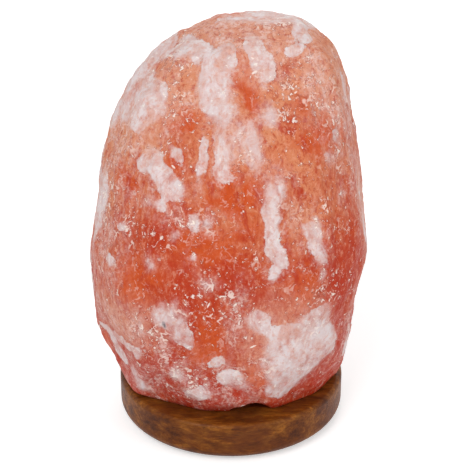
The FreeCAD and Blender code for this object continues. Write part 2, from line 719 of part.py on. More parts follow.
def terminal_blocks():
    blocks = []
    bottom = HOLDER_SEAT - TERMINAL_HEIGHT
    half = TERMINAL_BREADTH / 2
    for x in terminal_places():
        left, right = x - TERMINAL_WIDTH / 2, x + TERMINAL_WIDTH / 2
        one = block(left, right, -half, half, bottom, HOLDER_SEAT)
        wire_height = HOLDER_SEAT - RIVET_TAIL - TERMINAL_WIRE_DROP / 2
        one = one.cut(rod_along_y(TERMINAL_WIRE_HOLE / 2, -half, half, x, wire_height))
        one = one.cut(rod(RIVET_DIAMETER / 2, HOLDER_SEAT - RIVET_TAIL, HOLDER_SEAT, x))
        one = one.cut(rod(TERMINAL_SCREW_DIAMETER / 2, bottom, wire_height, x))
        blocks.append(one)
    return Part.Compound(blocks)


def terminal_screws():
    screws = []
    bottom = HOLDER_SEAT - TERMINAL_HEIGHT
    head_top = bottom - TERMINAL_HEAD_GAP
    head_bottom = head_top - TERMINAL_HEAD_HEIGHT
    reach = TERMINAL_HEAD_DIAMETER / 2
    half = SCREW_SLOT_WIDTH / 2
    wire_height = HOLDER_SEAT - RIVET_TAIL - TERMINAL_WIRE_DROP / 2
    for x in terminal_places():
        head = rod(reach, head_bottom, head_top, x)
        slot_top = head_bottom + TERMINAL_SLOT_DEPTH
        head = head.cut(block(x - reach, x + reach, -half, half, head_bottom, slot_top))
        shank_top = wire_height - TERMINAL_WIRE_HOLE / 2
        screws.append(head.fuse(rod(TERMINAL_SCREW_DIAMETER / 2, head_top, shank_top, x)))
    return Part.Compound(screws)


def clip_wing_right():
    """One bent wire: pin, side, crossbar, side, pin."""
    pivot = FOOT_TOP + WING_PIVOT_RISE
    bow = FOOT_TOP + WING_BOW_RISE
    top = FOOT_TOP + WING_TOP_RISE
    pin_end = EAR_WIDTH / 2 - WING_PIN_ENGAGEMENT
    side = WING_HALF_WIDTH
    half = (
        V(WING_PIVOT_REACH, pin_end, pivot),
        V(WING_PIVOT_REACH, side, pivot),
        V(WING_BOW_REACH, side, bow),
        V(WING_TOP_REACH, side, top),
    )
    other_half = [V(point.x, -point.y, point.z) for point in reversed(half)]
    bends = (WING_PIN_BEND, WING_BEND, WING_BEND)
    path = bent_path(list(half) + other_half, bends + tuple(reversed(bends)))
    return wire_along(path, WING_WIRE / 2)


def clip_wing_left():
    return mirrored_left(clip_wing_right())


# ---------------------------------------------------------------- bulb


def bulb_contact_tip():
    radius = TIP_DIAMETER / 2
    dome_radius = (radius ** 2 + TIP_HEIGHT ** 2) / (2 * TIP_HEIGHT)
    ball = Part.makeSphere(dome_radius, V(0, 0, TIP_BOTTOM + dome_radius))
    return ball.common(rod(radius, TIP_BOTTOM, TIP_BOTTOM + TIP_HEIGHT))


def bulb_cap_insulator():
    low = TIP_BOTTOM + TIP_HEIGHT
    high = low + INSULATOR_HEIGHT
    wide = CAP_SECTION_RADIUS - CAP_SHEET - THREAD_OFFSET - SMALL_CLEARANCE
    lead_hole = LEAD_DIAMETER / 2 + LEAD_SEAL_GAP
    cone = turned((
        (lead_hole, low),
        (TIP_DIAMETER / 2 + INSULATOR_LIP, low),
        (wide, high - INSULATOR_OVERLAP),
        (wide, high),
        (lead_hole, high),
    ))
    return cone


def bulb_cap():
    """Rolled thread below, plain skirt above, joined by a collar that holds the thread's end."""
    thread = thread_form(CAP_SECTION_RADIUS, CAP_THREAD_BOTTOM, CAP_THREAD_TOP)
    inside = thread_form(CAP_SECTION_RADIUS - CAP_SHEET, CAP_THREAD_BOTTOM, CAP_THREAD_TOP)
    skirt = CAP_SKIRT_DIAMETER / 2
    bore = CAP_SECTION_RADIUS - CAP_SHEET - THREAD_OFFSET - CAP_COLLAR_WALL
    collar = THREAD_DIAMETER / 2 + CAP_COLLAR_WALL
    flare = turned((
        (bore, CAP_THREAD_TOP - CAP_SHEET),
        (collar, CAP_THREAD_TOP - CAP_SHEET),
        (collar, CAP_THREAD_TOP),
        (skirt, CAP_SKIRT_BOTTOM),
        (skirt, CAP_TOP),
        (skirt - CAP_SHEET, CAP_TOP),
        (skirt - CAP_SHEET, CAP_SKIRT_BOTTOM + CAP_SHEET),
        (bore, CAP_THREAD_TOP + CAP_SHEET),
    ))
    return thread.cut(inside).fuse(flare)


def bulb_cement():
    outer = CAP_SKIRT_DIAMETER / 2 - CAP_SHEET - CEMENT_GAP
    inner = GLASS_NECK_DIAMETER / 2 + CEMENT_GAP
    return tube(outer, inner, CAP_SKIRT_BOTTOM + CAP_SHEET, CAP_TOP - CAP_SHEET)


def glass_outline(inset):
    """Neck, shoulder and ball of the envelope, from the neck's open end to the top."""
    ball = GLASS_DIAMETER / 2 - inset
    neck = GLASS_NECK_DIAMETER / 2 - inset
    centre = GLASS_TOP - GLASS_DIAMETER / 2
    angle = math.radians(GLASS_SHOULDER_ANGLE)
    neck_bottom = V(neck, 0, GLASS_BOTTOM + CAP_SHEET)
    neck_top = V(neck, 0, GLASS_BOTTOM + GLASS_NECK_LENGTH)
    on_ball = V(ball * math.cos(angle), 0, centre - ball * math.sin(angle))
    side = V(ball, 0, centre)
    top = V(0, 0, centre + ball)
    shoulder = Part.BSplineCurve()
    along_ball = V(math.sin(angle), 0, math.cos(angle))
    shoulder.interpolate([neck_top, on_ball], InitialTangent=UP, FinalTangent=along_ball)
    high = math.pi / 4
    on_side = V(ball * math.cos(angle / 2), 0, centre - ball * math.sin(angle / 2))
    on_crown = V(ball * math.cos(high), 0, centre + ball * math.sin(high))
    return [
        line(neck_bottom, neck_top),
        shoulder.toShape(),
        Part.Arc(on_ball, on_side, side).toShape(),
        Part.Arc(side, on_crown, top).toShape(),
    ]


def bulb_glass():
    outer, inner = glass_outline(0.0), glass_outline(GLASS_WALL)
    neck = GLASS_NECK_DIAMETER / 2
    bottom = GLASS_BOTTOM + CAP_SHEET
    edges = outer + inner
    edges.append(line(V(neck - GLASS_WALL, 0, bottom), V(neck, 0, bottom)))
    edges.append(line(V(0, 0, GLASS_TOP - GLASS_WALL), V(0, 0, GLASS_TOP)))
    return turned_from_edges(edges)


def bulb_stem():
    foot = GLASS_NECK_DIAMETER / 2 - GLASS_WALL - STEM_FLARE
    waist = STEM_DIAMETER / 2
    low = GLASS_BOTTOM + STEM_FOOT
    stem = turned((
        (0, low),
        (foot, low),
        (foot, low + STEM_RIM),
        (waist, low + STEM_FLARE_HEIGHT),
        (waist, STEM_TOP),
        (0, STEM_TOP),
    ))
    for x in (-LEAD_SPACING / 2, LEAD_SPACING / 2):
        stem = stem.cut(rod(LEAD_DIAMETER / 2 + LEAD_SEAL_GAP, low, STEM_TOP, x))
    return stem.cut(rod(SUPPORT_DIAMETER / 2 + LEAD_SEAL_GAP, STEM_TOP - LEAD_TAIL, STEM_TOP))


def bulb_leads():
    leads = []
    near, far = LEAD_SPACING / 2, LEAD_SPREAD / 2
    for side in (-1, 1):
        points = [
            V(side * near, 0, GLASS_BOTTOM - LEAD_TAIL),
            V(side * near, 0, STEM_TOP + LEAD_UPRIGHT),
            V(side * far, 0, FILAMENT_HEIGHT - LEAD_UPRIGHT),
            V(side * far, 0, FILAMENT_HEIGHT + LEAD_END),
        ]
        leads.append(wire_along(bent_path(points, (LEAD_BEND, LEAD_BEND)), LEAD_DIAMETER / 2))
    return Part.Compound(leads)


def bulb_filament():
    length = LEAD_SPREAD - LEAD_DIAMETER - FILAMENT_WIRE - 2 * FILAMENT_END_GAP
    radius = (FILAMENT_COIL_DIAMETER - FILAMENT_WIRE) / 2
    path = Part.Wire(Part.makeHelix(FILAMENT_PITCH, length, radius).Edges)
    section = Part.Wire(Part.makeCircle(FILAMENT_WIRE / 2, V(radius, 0, 0), V(0, 1, 0)))
    sweep = Part.BRepOffsetAPI.MakePipeShell(path)
    sweep.setFrenetMode(True)
    sweep.add(section)
    sweep.build()
    sweep.makeSolid()
    coil = sweep.shape()
    coil.rotate(ORIGIN, V(0, 1, 0), 90)
    coil.translate(V(-length / 2, 0, FILAMENT_HEIGHT))
    return coil


def bulb_support():
    """A wire from the stem, ending in an eye round the filament's middle."""
    eye = FILAMENT_COIL_DIAMETER / 2 + SUPPORT_EYE_GAP + SUPPORT_DIAMETER / 2
    low = STEM_TOP - LEAD_TAIL + SMALL_CLEARANCE
    high = FILAMENT_HEIGHT - eye
    shank = rod(SUPPORT_DIAMETER / 2, low, high)
    ring = Part.makeTorus(eye, SUPPORT_DIAMETER / 2, V(0, 0, FILAMENT_HEIGHT), V(1, 0, 0))
    return shank.fuse(ring).removeSplitter()


# ---------------------------------------------------------------- all the pieces

PIECES = (
    salt_crystal,
    wood_base,
    felt_pad,
    base_screws,
    screw_washers,
    salt_anchors,
    cord_bush,
    holder_body,
    holder_cap,
    cap_screws,
    contact_carrier,
    screw_shell,
    shell_contact,
    centre_contact,
    contact_rivets,
    terminal_blocks,
    terminal_screws,
    clip_wing_left,
    clip_wing_right,
    bulb_contact_tip,
    bulb_cap_insulator,
    bulb_cap,
    bulb_cement,
    bulb_glass,
    bulb_stem,
    bulb_leads,
    bulb_filament,
    bulb_support,
)


def main():
    os.makedirs("parts", exist_ok=True)
    for piece in PIECES:
        shape = piece()
        if not shape.isValid():
            raise ValueError(f"{piece.__name__} isn't a sound solid")
        print(f"{piece.__name__:20s} {len(shape.Solids)} solid(s) {shape.Volume / 1000.0:10.3f} cm3")
        shape.exportStep(f"parts/{piece.__name__}.step")


main()
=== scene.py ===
"""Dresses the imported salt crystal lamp: rock salt, turned wood, felt, lampholder and bulb.

Metres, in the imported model's own frame. +Z is up, the front is -Y, and the lamp stands on Z = 0.
"""

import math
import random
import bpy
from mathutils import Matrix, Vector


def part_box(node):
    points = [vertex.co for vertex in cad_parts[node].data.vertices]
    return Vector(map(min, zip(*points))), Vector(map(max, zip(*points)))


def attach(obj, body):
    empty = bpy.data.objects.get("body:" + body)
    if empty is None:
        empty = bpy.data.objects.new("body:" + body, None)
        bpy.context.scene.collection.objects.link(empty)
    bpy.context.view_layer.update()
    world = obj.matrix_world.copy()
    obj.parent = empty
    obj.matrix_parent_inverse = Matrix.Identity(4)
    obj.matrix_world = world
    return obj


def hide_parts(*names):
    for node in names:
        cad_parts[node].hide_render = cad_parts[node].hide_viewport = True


bl_info = {
    "name": "Salt Crystal Lamp",
    "version": (1, 0, 0),
    "blender": (4, 5, 0),
    "location": "3D View > Sidebar > Salt Lamp",
    "description": "Builds the looks of a salt crystal lamp around its packed model",
    "category": "Object",
}

import bmesh
import bpy
import numpy as np
from bpy.props import FloatProperty, FloatVectorProperty, IntProperty, PointerProperty
from bpy.types import Operator, Panel, PropertyGroup
from mathutils import Vector, noise
from mathutils.bvhtree import BVHTree

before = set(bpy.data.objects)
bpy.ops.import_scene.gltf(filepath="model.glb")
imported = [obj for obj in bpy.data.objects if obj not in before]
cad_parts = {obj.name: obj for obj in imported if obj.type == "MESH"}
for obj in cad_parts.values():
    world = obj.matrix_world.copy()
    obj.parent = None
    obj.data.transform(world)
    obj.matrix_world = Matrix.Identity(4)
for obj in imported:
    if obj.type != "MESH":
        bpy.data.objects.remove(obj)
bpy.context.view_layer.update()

MM = 0.001
CM = 0.01
SENSOR_WIDTH = 36.0

ROCK_LOW, ROCK_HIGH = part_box("salt_crystal")
PAD_LOW, PAD_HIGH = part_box("felt_pad")


def chart(red, green, blue):
    """A colour as a paint chart gives it, from 0 to 255, in Blender's linear values."""
    shares = [part / 255.0 for part in (red, green, blue)]
    linear = [s / 12.92 if s < 0.04 else ((s + 0.055) / 1.055) ** 2.4 for s in shares]
    return (*linear, 1.0)


def colour(name, description, default):
    return FloatVectorProperty(
        name=name, description=description, default=default, subtype="COLOR", size=4, min=0.0, max=1.0
    )


def length(name, description, default):
    return FloatProperty(
        name=name, description=description, default=default, unit="LENGTH", precision=5, min=0.0
    )


def share(name, description, default):
    return FloatProperty(
        name=name, description=description, default=default, subtype="FACTOR", min=0.0, max=1.0
    )


def strength(name, description, default):
    return FloatProperty(name=name, description=description, default=default, min=0.0)


# ---------------------------------------------------------------- what a user would change


class CrystalSettings(PropertyGroup):
    mesh_step: length("Mesh step", "Distance between the points of the rough surface", 1.3 * MM)
    swell: length("Swell", "Depth of the slow hollows and swellings", 1.5 * MM)
    facets: length("Facets", "Depth of the hewn facets", 1.5 * MM)
    grain: length("Grain", "Depth of the crystal grain", 0.3 * MM)
    seed: IntProperty(
        name="Seed",
        description="Places the inclusions on the sides and the back, and makes all edges ragged",
        default=7,
        min=1,
    )
    deep: colour("Deep red", "Salt near the bottom", chart(182, 50, 22))
    body: colour("Red", "Salt in the middle", chart(196, 79, 42))
    high: colour("Orange", "Salt near the top", chart(216, 134, 94))
    # clear orange salt, painted with a glow as though lit from inside
    glow: colour("Glow", "Clear orange salt", chart(205, 82, 32))
    rose: colour("Rose", "Milky pink salt", chart(218, 148, 122))
    milk: colour("Milk", "Pale grains in the red salt", chart(232, 172, 144))
    haze: colour("Haze", "Soft white clouds", chart(234, 204, 196))
    pale: colour("Pale", "White inclusions", chart(232, 218, 218))
    pale_pink: colour("Pale pink", "Shade inside the white inclusions", chart(222, 192, 188))
    # pale salt of the crumbs and splinters, and the painted highlight on the lit side of the curls
    cream_and_painted_highlight: colour("Cream", "Splinters and crumbs", chart(252, 236, 226))
    frost: colour("Frost", "Brightest grains of the white inclusions", chart(246, 240, 242))
    # painted shadow: the dark side of the curls and the dark edge round the crumbs
    painted_fleck_shadow: colour("Rim", "Dark edge round the crumbs", chart(150, 48, 26))
    stone: colour("Stone", "Dark stone in a white inclusion", chart(98, 94, 100))
    depth: share("Light depth", "Share of the light that goes into the salt", 0.08)
    roughness: share("Roughness", "Of the broken surface", 0.55)


class BaseSettings(PropertyGroup):
    light: colour("Light wood", "Wood between the rings", chart(164, 101, 36))
    brown: colour("Brown wood", "Main colour of the wood", chart(120, 64, 17))
    dark: colour("Dark wood", "Late rings and pores", chart(66, 29, 8))
    ring: length("Ring spacing", "Distance between growth rings", 5.5 * MM)
    roughness: share("Roughness", "Of the oiled surface", 0.42)


class FeltSettings(PropertyGroup):
    colour: colour("Colour", "Felt", chart(48, 44, 42))
    fibre: length("Fibre", "How far the fibres stand out", 0.25 * MM)


class FittingSettings(PropertyGroup):
    plastic: colour("Plastic", "Lampholder and bush", chart(34, 33, 33))
    nylon: colour("Nylon", "Plugs in the salt", chart(214, 210, 198))
    ceramic: colour("Ceramic", "Contact carrier and cement", chart(226, 220, 206))
    brass: colour("Brass", "Contacts and threaded shell", chart(206, 164, 88))
    steel: colour("Steel", "Screws, washers and spring wire", chart(178, 180, 182))


class StageSettings(PropertyGroup):
    floor: colour("Floor", "Plain pale floor", chart(240, 240, 240))
    key: strength("Key light", "Power of the large front light", 10.5)
    fill: strength("Fill light", "Power of the side light and of the back light", 4.0)
    sky: strength("Room light", "Strength of the light all round", 0.46)
    eye_level: length("Eye level", "Height of the camera", 542.0 * MM)
    stand_off: length("Stand-off", "Distance of the camera in front of the lamp", 857.2 * MM)
    offset: length("Offset", "How far the camera stands to the right", 1.3 * MM)
    tilt: FloatProperty(
        name="Tilt",
        description="How far the camera looks down",
        default=math.radians(26.0),
        subtype="ANGLE",
    )
    lens: FloatProperty(name="Lens", description="Focal length in millimetres", default=117.2, min=1.0)


# ---------------------------------------------------------------- finishes

WOOD_PORES = chart(40, 20, 10)
WOOD_PATCHES = chart(96, 48, 24)
FELT_SHADOW = chart(26, 24, 23)
FELT_FIBRES = chart(92, 86, 82)
FELT_WEAR = chart(104, 98, 92)
CLEAR_GLASS = chart(250, 252, 252)
GLASS_HAZE = chart(236, 240, 240)
BLACK_GLASS = chart(22, 22, 26)
NICKEL = chart(196, 190, 176)
SOLDER = chart(168, 170, 174)
LEAD_WIRE = chart(186, 160, 130)
TUNGSTEN = chart(104, 104, 108)
FLOOR_CLOUDS = chart(250, 250, 250)
WHITE = chart(255, 255, 255)

# the heights between which the salt turns from red to orange
COLOUR_CHANGE = (30 * MM, 270 * MM)
# added to a place, this counts it from the tree's heart, behind and below the base
FROM_TREE_HEART = (0.0, -55 * MM, 85 * MM)
# how far the splinters turn, in radians
ABOUT_A_TURN = 6.3


class Finish:
    """A node material, with short ways to add the nodes that come again and again."""

    def __init__(self, name):
        self.material = bpy.data.materials.new(name)
        self.material.use_nodes = True
        self.tree = self.material.node_tree
        self.tree.nodes.clear()
        self.shader = self.node("BsdfPrincipled")
        self.output = self.node("OutputMaterial")
        self.put(self.output.inputs["Surface"], self.shader.outputs["BSDF"])
        self.place = self.node("TexCoord").outputs["Object"]

    def node(self, kind, inputs=None, **settings):
        made = self.tree.nodes.new("ShaderNode" + kind)
        for name, value in settings.items():
            setattr(made, name, value)
        for name, value in (inputs or {}).items():
            self.put(made.inputs[name], value)
        return made

    def put(self, socket, value):
        if isinstance(value, bpy.types.NodeSocket):
            self.tree.links.new(value, socket)
        else:
            socket.default_value = value

    def set(self, **values):
        """Shader sockets by name, with _ for the spaces."""
        for name, value in values.items():
            self.put(self.shader.inputs[name.replace("_", " ")], value)

    def math(self, operation, first, second=0.0, third=0.0, clamp=False):
        made = self.node("Math", operation=operation, use_clamp=clamp)
        for socket, value in zip(made.inputs, (first, second, third)):
            self.put(socket, value)
        return made.outputs[0]

    def times(self, *values):
        product = values[0]
        for value in values[1:]:
            product = self.math("MULTIPLY", product, value)
        return product

    def stretched(self, x, y, z, where=None):
        inputs = {"Vector": where or self.place, "Scale": (x, y, z)}
        return self.node("Mapping", inputs, vector_type="POINT").outputs["Vector"]

    def warped(self, scale, reach, where=None, detail=2.0):
        """Places pushed about by noise, so that what is drawn there has ragged edges."""
        inputs = {"Vector": where or self.place, "Scale": scale, "Detail": detail}
        push = self.node("TexNoise", inputs).outputs["Color"]
        centred = self.node("VectorMath", {0: push, 1: (0.5, 0.5, 0.5)}, operation="SUBTRACT")
        moved = self.node(
            "VectorMath",
            {0: centred.outputs[0], 1: (reach, reach, reach), 2: where or self.place},
            operation="MULTIPLY_ADD",
        )
        return moved.outputs[0]

    def noise(self, scale, detail=3.0, roughness=0.5, where=None):
        inputs = {
            "Vector": where or self.place,
            "Scale": scale,
            "Detail": detail,
            "Roughness": roughness,
        }
        return self.node("TexNoise", inputs).outputs["Fac"]

    def red_of(self, value):
        return self.node("SeparateColor", {0: value}).outputs[0]

    def between(self, value, low, high, at_low=0.0, at_high=1.0):
        """Goes softly from one value to another while the given value goes from low to high."""
        inputs = {"Value": value, "From Min": low, "From Max": high, "To Min": at_low, "To Max": at_high}
        return self.node("MapRange", inputs, interpolation_type="SMOOTHSTEP").outputs["Result"]

    def blend(self, amount, first, second):
        """The first colour, and as much of the second one over it as the amount says."""
        made = self.node("Mix", data_type="RGBA")
        self.put(made.inputs[0], amount)
        self.put(made.inputs[6], first)
        self.put(made.inputs[7], second)
        return made.outputs[2]

    def ramp(self, value, *stops):
        made = self.node("ValToRGB", {"Fac": value})
        steps = made.color_ramp.elements
        while len(steps) < len(stops):
            steps.new(0.5)
        for step, (position, shade) in zip(steps, stops):
            step.position = position
            step.color = shade
        return made.outputs["Color"]

    def mark(self, name):
        """A value kept at the points of the mesh."""
        return self.node("Attribute", attribute_name=name).outputs["Fac"]

    def relief(self, height, depth):
        inputs = {"Height": height, "Distance": depth, "Strength": 1.0}
        return self.node("Bump", inputs).outputs["Normal"]

    def directly_seen(self):
        """1 where the camera, a reflection or a clear piece looks straight at the surface."""
        seen = self.node("LightPath").outputs
        either = self.math("MAXIMUM", seen["Is Camera Ray"], seen["Is Glossy Ray"])
        return self.math("MAXIMUM", either, seen["Is Transmission Ray"])


def salt_finish(look):
    """Red and orange rock salt with milky clouds, white inclusions, pale curls and splinters; clear
    places carry a painted glow, and the curls and crumbs a painted highlight and painted shadow.
    """
    salt = Finish("rock_salt")
    ragged = salt.warped(60.0, 9 * MM, detail=3.0)
    upright = salt.stretched(1.0, 1.0, 0.5, ragged)
    grain = salt.noise(1.0, 5.0, 0.72, salt.stretched(400.0, 400.0, 210.0, ragged))
    # clear orange salt: a painted glow, as though lit from inside, in the places marked glow
    glow = salt.between(salt.noise(90.0, 4.0, 0.6, ragged), 0.3, 0.6)
    clear = salt.math("MULTIPLY", salt.times(salt.mark("glow"), glow), 1.4, clamp=True)
    cloudy = salt.math("MULTIPLY_ADD", clear, -0.7, 1.0)

    shade = salt.blend(clear, red_and_orange(salt, look), look.glow)
    shade = mottled(salt, look, shade, ragged, upright)
    shade = salt.blend(salt.times(salt.between(grain, 0.52, 0.64, 0.0, 0.38), cloudy), shade, look.milk)
    shade = salt.blend(salt.times(salt.between(grain, 0.48, 0.38, 0.0, 0.65), cloudy), shade, look.deep)
    shade = salt.blend(milky_veil(salt, upright), shade, look.haze)
    inside = inclusion_cover(salt, upright)
    shade = salt.blend(salt.math("MULTIPLY", inside, 0.96), shade, inclusion_shade(salt, look, ragged))
    shade = crumbled(salt, look, shade, inside, cloudy, ragged)
    shade = salt.blend(salt.mark("stone"), shade, look.stone)

    bumps = salt.math("MULTIPLY_ADD", grain, 0.5, salt.noise(230.0, 4.0, 0.6))
    bumps = salt.math("ADD", bumps, salt.math("MULTIPLY", inside, 0.25))
    smooth, rough = look.roughness - 0.20, look.roughness + 0.10
    salt.set(
        Base_Color=shade,
        Roughness=salt.between(salt.noise(160.0, 3.0), 0.3, 0.7, smooth, rough),
        Subsurface_Weight=look.depth,
        Subsurface_Radius=(1.0, 0.35, 0.2),
        Subsurface_Scale=3 * MM,
        Specular_IOR_Level=0.16,
        Normal=salt.relief(bumps, 0.8 * MM),
    )
    return salt.material


def red_and_orange(salt, look):
    """Red below and orange above, in drifting patches."""
    height = salt.node("SeparateXYZ", {0: salt.place}).outputs["Z"]
    drift = salt.math("MULTIPLY_ADD", salt.noise(21.0, 5.0, 0.6), 2.0, -1.0)
    tone = salt.math("ADD", salt.between(height, *COLOUR_CHANGE), drift, clamp=True)
    return salt.ramp(tone, (0.08, look.deep), (0.45, look.body), (0.95, look.high))


def mottled(salt, look, shade, ragged, upright):
    """Milkier and deeper salt, drawn out upwards, and places of milky pink salt."""
    mottle = salt.noise(95.0, 7.0, 0.70, upright)
    shade = salt.blend(salt.between(mottle, 0.53, 0.74, 0.0, 0.4), shade, look.rose)
    shade = salt.blend(salt.between(mottle, 0.48, 0.36, 0.0, 0.8), shade, look.deep)
    broken = salt.between(salt.noise(55.0, 5.0, 0.6, ragged), 0.20, 0.50)
    return salt.blend(salt.times(salt.mark("rose"), broken, 0.8), shade, look.rose)


def milky_veil(salt, upright):
    """How milky the salt is: in the veils and round the inclusions."""
    near = salt.between(salt.mark("inclusion"), -0.6, 0.2, 0.0, 0.7)
    veil = salt.math("MAXIMUM", salt.mark("veil"), near)
    veil = salt.times(veil, salt.between(salt.noise(120.0, 7.0, 0.72, upright), 0.38, 0.64), 0.9)
    sugary = salt.between(salt.noise(420.0, 5.0, 0.75), 0.42, 0.58, 0.2, 0.9)
    return salt.math("MULTIPLY", veil, sugary, clamp=True)


def inclusion_cover(salt, upright):
    """Where the white inclusions are: their edge is sharp in some places and fades out in others."""
    edge = salt.math("MULTIPLY_ADD", salt.noise(110.0, 6.0, 0.70), 0.8, salt.mark("inclusion"))
    edge = salt.math("MULTIPLY_ADD", salt.noise(480.0, 4.0, 0.75), 0.25, edge)
    fade = salt.between(salt.noise(34.0, 2.0), 0.40, 0.60, 0.42, 1.05)
    thin = salt.between(salt.noise(105.0, 6.0, 0.68, upright), 0.36, 0.56, 0.35, 1.0)
    return salt.math("MULTIPLY", salt.between(edge, 0.38, fade), thin)


def inclusion_shade(salt, look, ragged):
    """The folds, pits and bright grains of the white inclusions."""
    folds = salt.noise(1.0, 6.0, 0.66, salt.stretched(110.0, 110.0, 60.0, ragged))
    pits = salt.noise(300.0, 5.0, 0.72, ragged)
    pale = salt.blend(salt.between(folds, 0.40, 0.62), look.pale, look.pale_pink)
    pale = salt.blend(salt.between(pits, 0.48, 0.38, 0.0, 0.5), pale, look.rose)
    return salt.blend(salt.between(pits, 0.56, 0.66, 0.0, 0.9), pale, look.frost)


def crumbled(salt, look, shade, inside, cloudy, ragged):
    """Curls and crumbs of white salt, thicker in some places: the curls get a painted highlight on one
    side and a painted shadow on the other, and the crumbs a painted shadow round their edge.
    """
    chance = salt.between(salt.noise(48.0, 5.0, 0.65), 0.48, 0.70)
    thick = salt.times(salt.math("MAXIMUM", salt.mark("thick"), chance), cloudy)
    lit, painted_shadow_side = curls(salt, 130.0, 0.040, ragged)
    finer_lit, finer_painted_shadow_side = curls(salt, 270.0, 0.045, salt.place)
    crumbs = salt.math("MULTIPLY_ADD", thick, 0.06, salt.noise(300.0, 5.0, 0.72, ragged))
    # painted highlight on the lit side of the curls, together with the pale salt of the crumbs and
    # splinters
    bright = salt.math("MAXIMUM", lit, salt.math("MULTIPLY", finer_lit, 0.6))
    bright = salt.times(bright, salt.math("MULTIPLY_ADD", thick, 0.8, 0.2))
    bright = salt.math("MAXIMUM", bright, salt.between(crumbs, 0.635, 0.665))
    bright = salt.math("MAXIMUM", bright, splinters(salt, 150.0, 2.4 * MM, 0.6 * MM, 0.06))
    # painted shadow on the dark side of the curls and round the crumbs, less inside the white inclusions
    dark = salt.times(salt.math("MAXIMUM", painted_shadow_side, finer_painted_shadow_side), thick)
    dark = salt.math("MAXIMUM", dark, salt.between(crumbs, 0.595, 0.625))
    dark = salt.times(dark, salt.math("MULTIPLY_ADD", inside, -0.75, 1.0), 0.6)
    shade = salt.blend(dark, shade, look.painted_fleck_shadow)
    return salt.blend(salt.math("MULTIPLY", bright, 0.85), shade, look.cream_and_painted_highlight)


def curls(finish, scale, half_width, where):
    """Short winding lines, as the amount of their painted highlight on the lit side and of their painted
    shadow on the dark side.
    """
    winding = finish.math("SUBTRACT", finish.noise(scale, 2.0, 0.5, where), 0.5)
    short = finish.between(finish.noise(scale * 0.7, 3.0, 0.6), 0.55, 0.60)
    sides = []
    for side in (half_width, -half_width):
        away = finish.math("ABSOLUTE", finish.math("SUBTRACT", winding, side))
        sides.append(finish.times(finish.between(away, half_width, half_width * 0.4), short))
    return sides


def splinters(finish, scale, half_length, half_width, share_of_cells):
    """Slivers that lie every way: one in a share of the cells."""
    inputs = {"Vector": finish.place, "Scale": scale, "Randomness": 1.0}
    cells = finish.node("TexVoronoi", inputs).outputs
    out = {0: finish.place, 1: cells["Position"]}
    out = finish.node("VectorMath", out, operation="SUBTRACT").outputs[0]
    turns = {0: cells["Color"], "Scale": ABOUT_A_TURN}
    turns = finish.node("VectorMath", turns, operation="SCALE").outputs[0]
    turned = {"Vector": out, "Rotation": turns}
    turned = finish.node("VectorRotate", turned, rotation_type="EULER_XYZ")
    size = (1.0 / half_width, 0.6 / half_width, 1.0 / half_length)
    shares = finish.node("VectorMath", {0: turned.outputs[0], 1: size}, operation="MULTIPLY")
    ragged = finish.node("TexNoise", {"Scale": 1300.0, "Detail": 2.0}).outputs["Fac"]
    away = finish.node("VectorMath", {0: shares.outputs[0]}, operation="LENGTH").outputs["Value"]
    away = finish.math("MULTIPLY_ADD", ragged, 0.9, away)
    chosen = finish.math("LESS_THAN", finish.red_of(cells["Color"]), share_of_cells)
    return finish.times(finish.between(away, 1.50, 1.20), chosen)


def wood_finish(look):
    """Oiled brown hardwood: the grain runs across the disc, from side to side."""
    wood = Finish("oiled_hardwood")
    bent = wood.warped(16.0, 16 * MM, detail=2.0)
    bent = wood.warped(90.0, 1.6 * MM, bent)
    mottle = wood.noise(1.0, 7.0, 0.72, wood.stretched(34.0, 110.0, 110.0, bent))
    shade = wood.ramp(mottle, (0.36, look.dark), (0.49, look.brown), (0.64, look.light))
    shade = wood.blend(wood.math("MULTIPLY", growth_rings(wood, look, bent), 0.3), shade, look.dark)
    fibres = wood.noise(1.0, 4.0, 0.7, wood.stretched(90.0, 900.0, 900.0, bent))
    shade = wood.blend(wood.between(fibres, 0.42, 0.64, 0.0, 0.45), shade, look.dark)
    pores = wood.between(wood.noise(1.0, 2.0, 0.5, wood.stretched(140.0, 1500.0, 1500.0)), 0.66, 0.72)
    shade = wood.blend(wood.math("MULTIPLY", pores, 0.7), shade, WOOD_PORES)
    patches = wood.between(wood.noise(42.0, 4.0, 0.65), 0.45, 0.65, 0.0, 0.5)
    shade = wood.blend(patches, shade, WOOD_PATCHES)
    bumps = wood.math("SUBTRACT", wood.math("MULTIPLY", fibres, 0.4), pores)
    wood.set(
        Base_Color=shade,
        Roughness=wood.between(fibres, 0.3, 0.7, look.roughness - 0.08, look.roughness + 0.14),
        Specular_IOR_Level=0.12,
        Coat_Weight=0.03,
        Coat_Roughness=0.3,
        Normal=wood.relief(bumps, 0.12 * MM),
    )
    return wood.material


def growth_rings(wood, look, bent):
    """Late wood of each ring, round a heart that lies behind and below the disc."""
    heart = wood.node("VectorMath", {0: bent, 1: FROM_TREE_HEART}, operation="ADD").outputs[0]
    across = wood.stretched(0.12, 1.0, 1.0, heart)
    out = wood.node("VectorMath", {0: across}, operation="LENGTH").outputs["Value"]
    turns = wood.math("FRACT", wood.math("DIVIDE", out, look.ring))
    return wood.times(wood.between(turns, 0.15, 0.85), wood.between(turns, 1.0, 0.9))


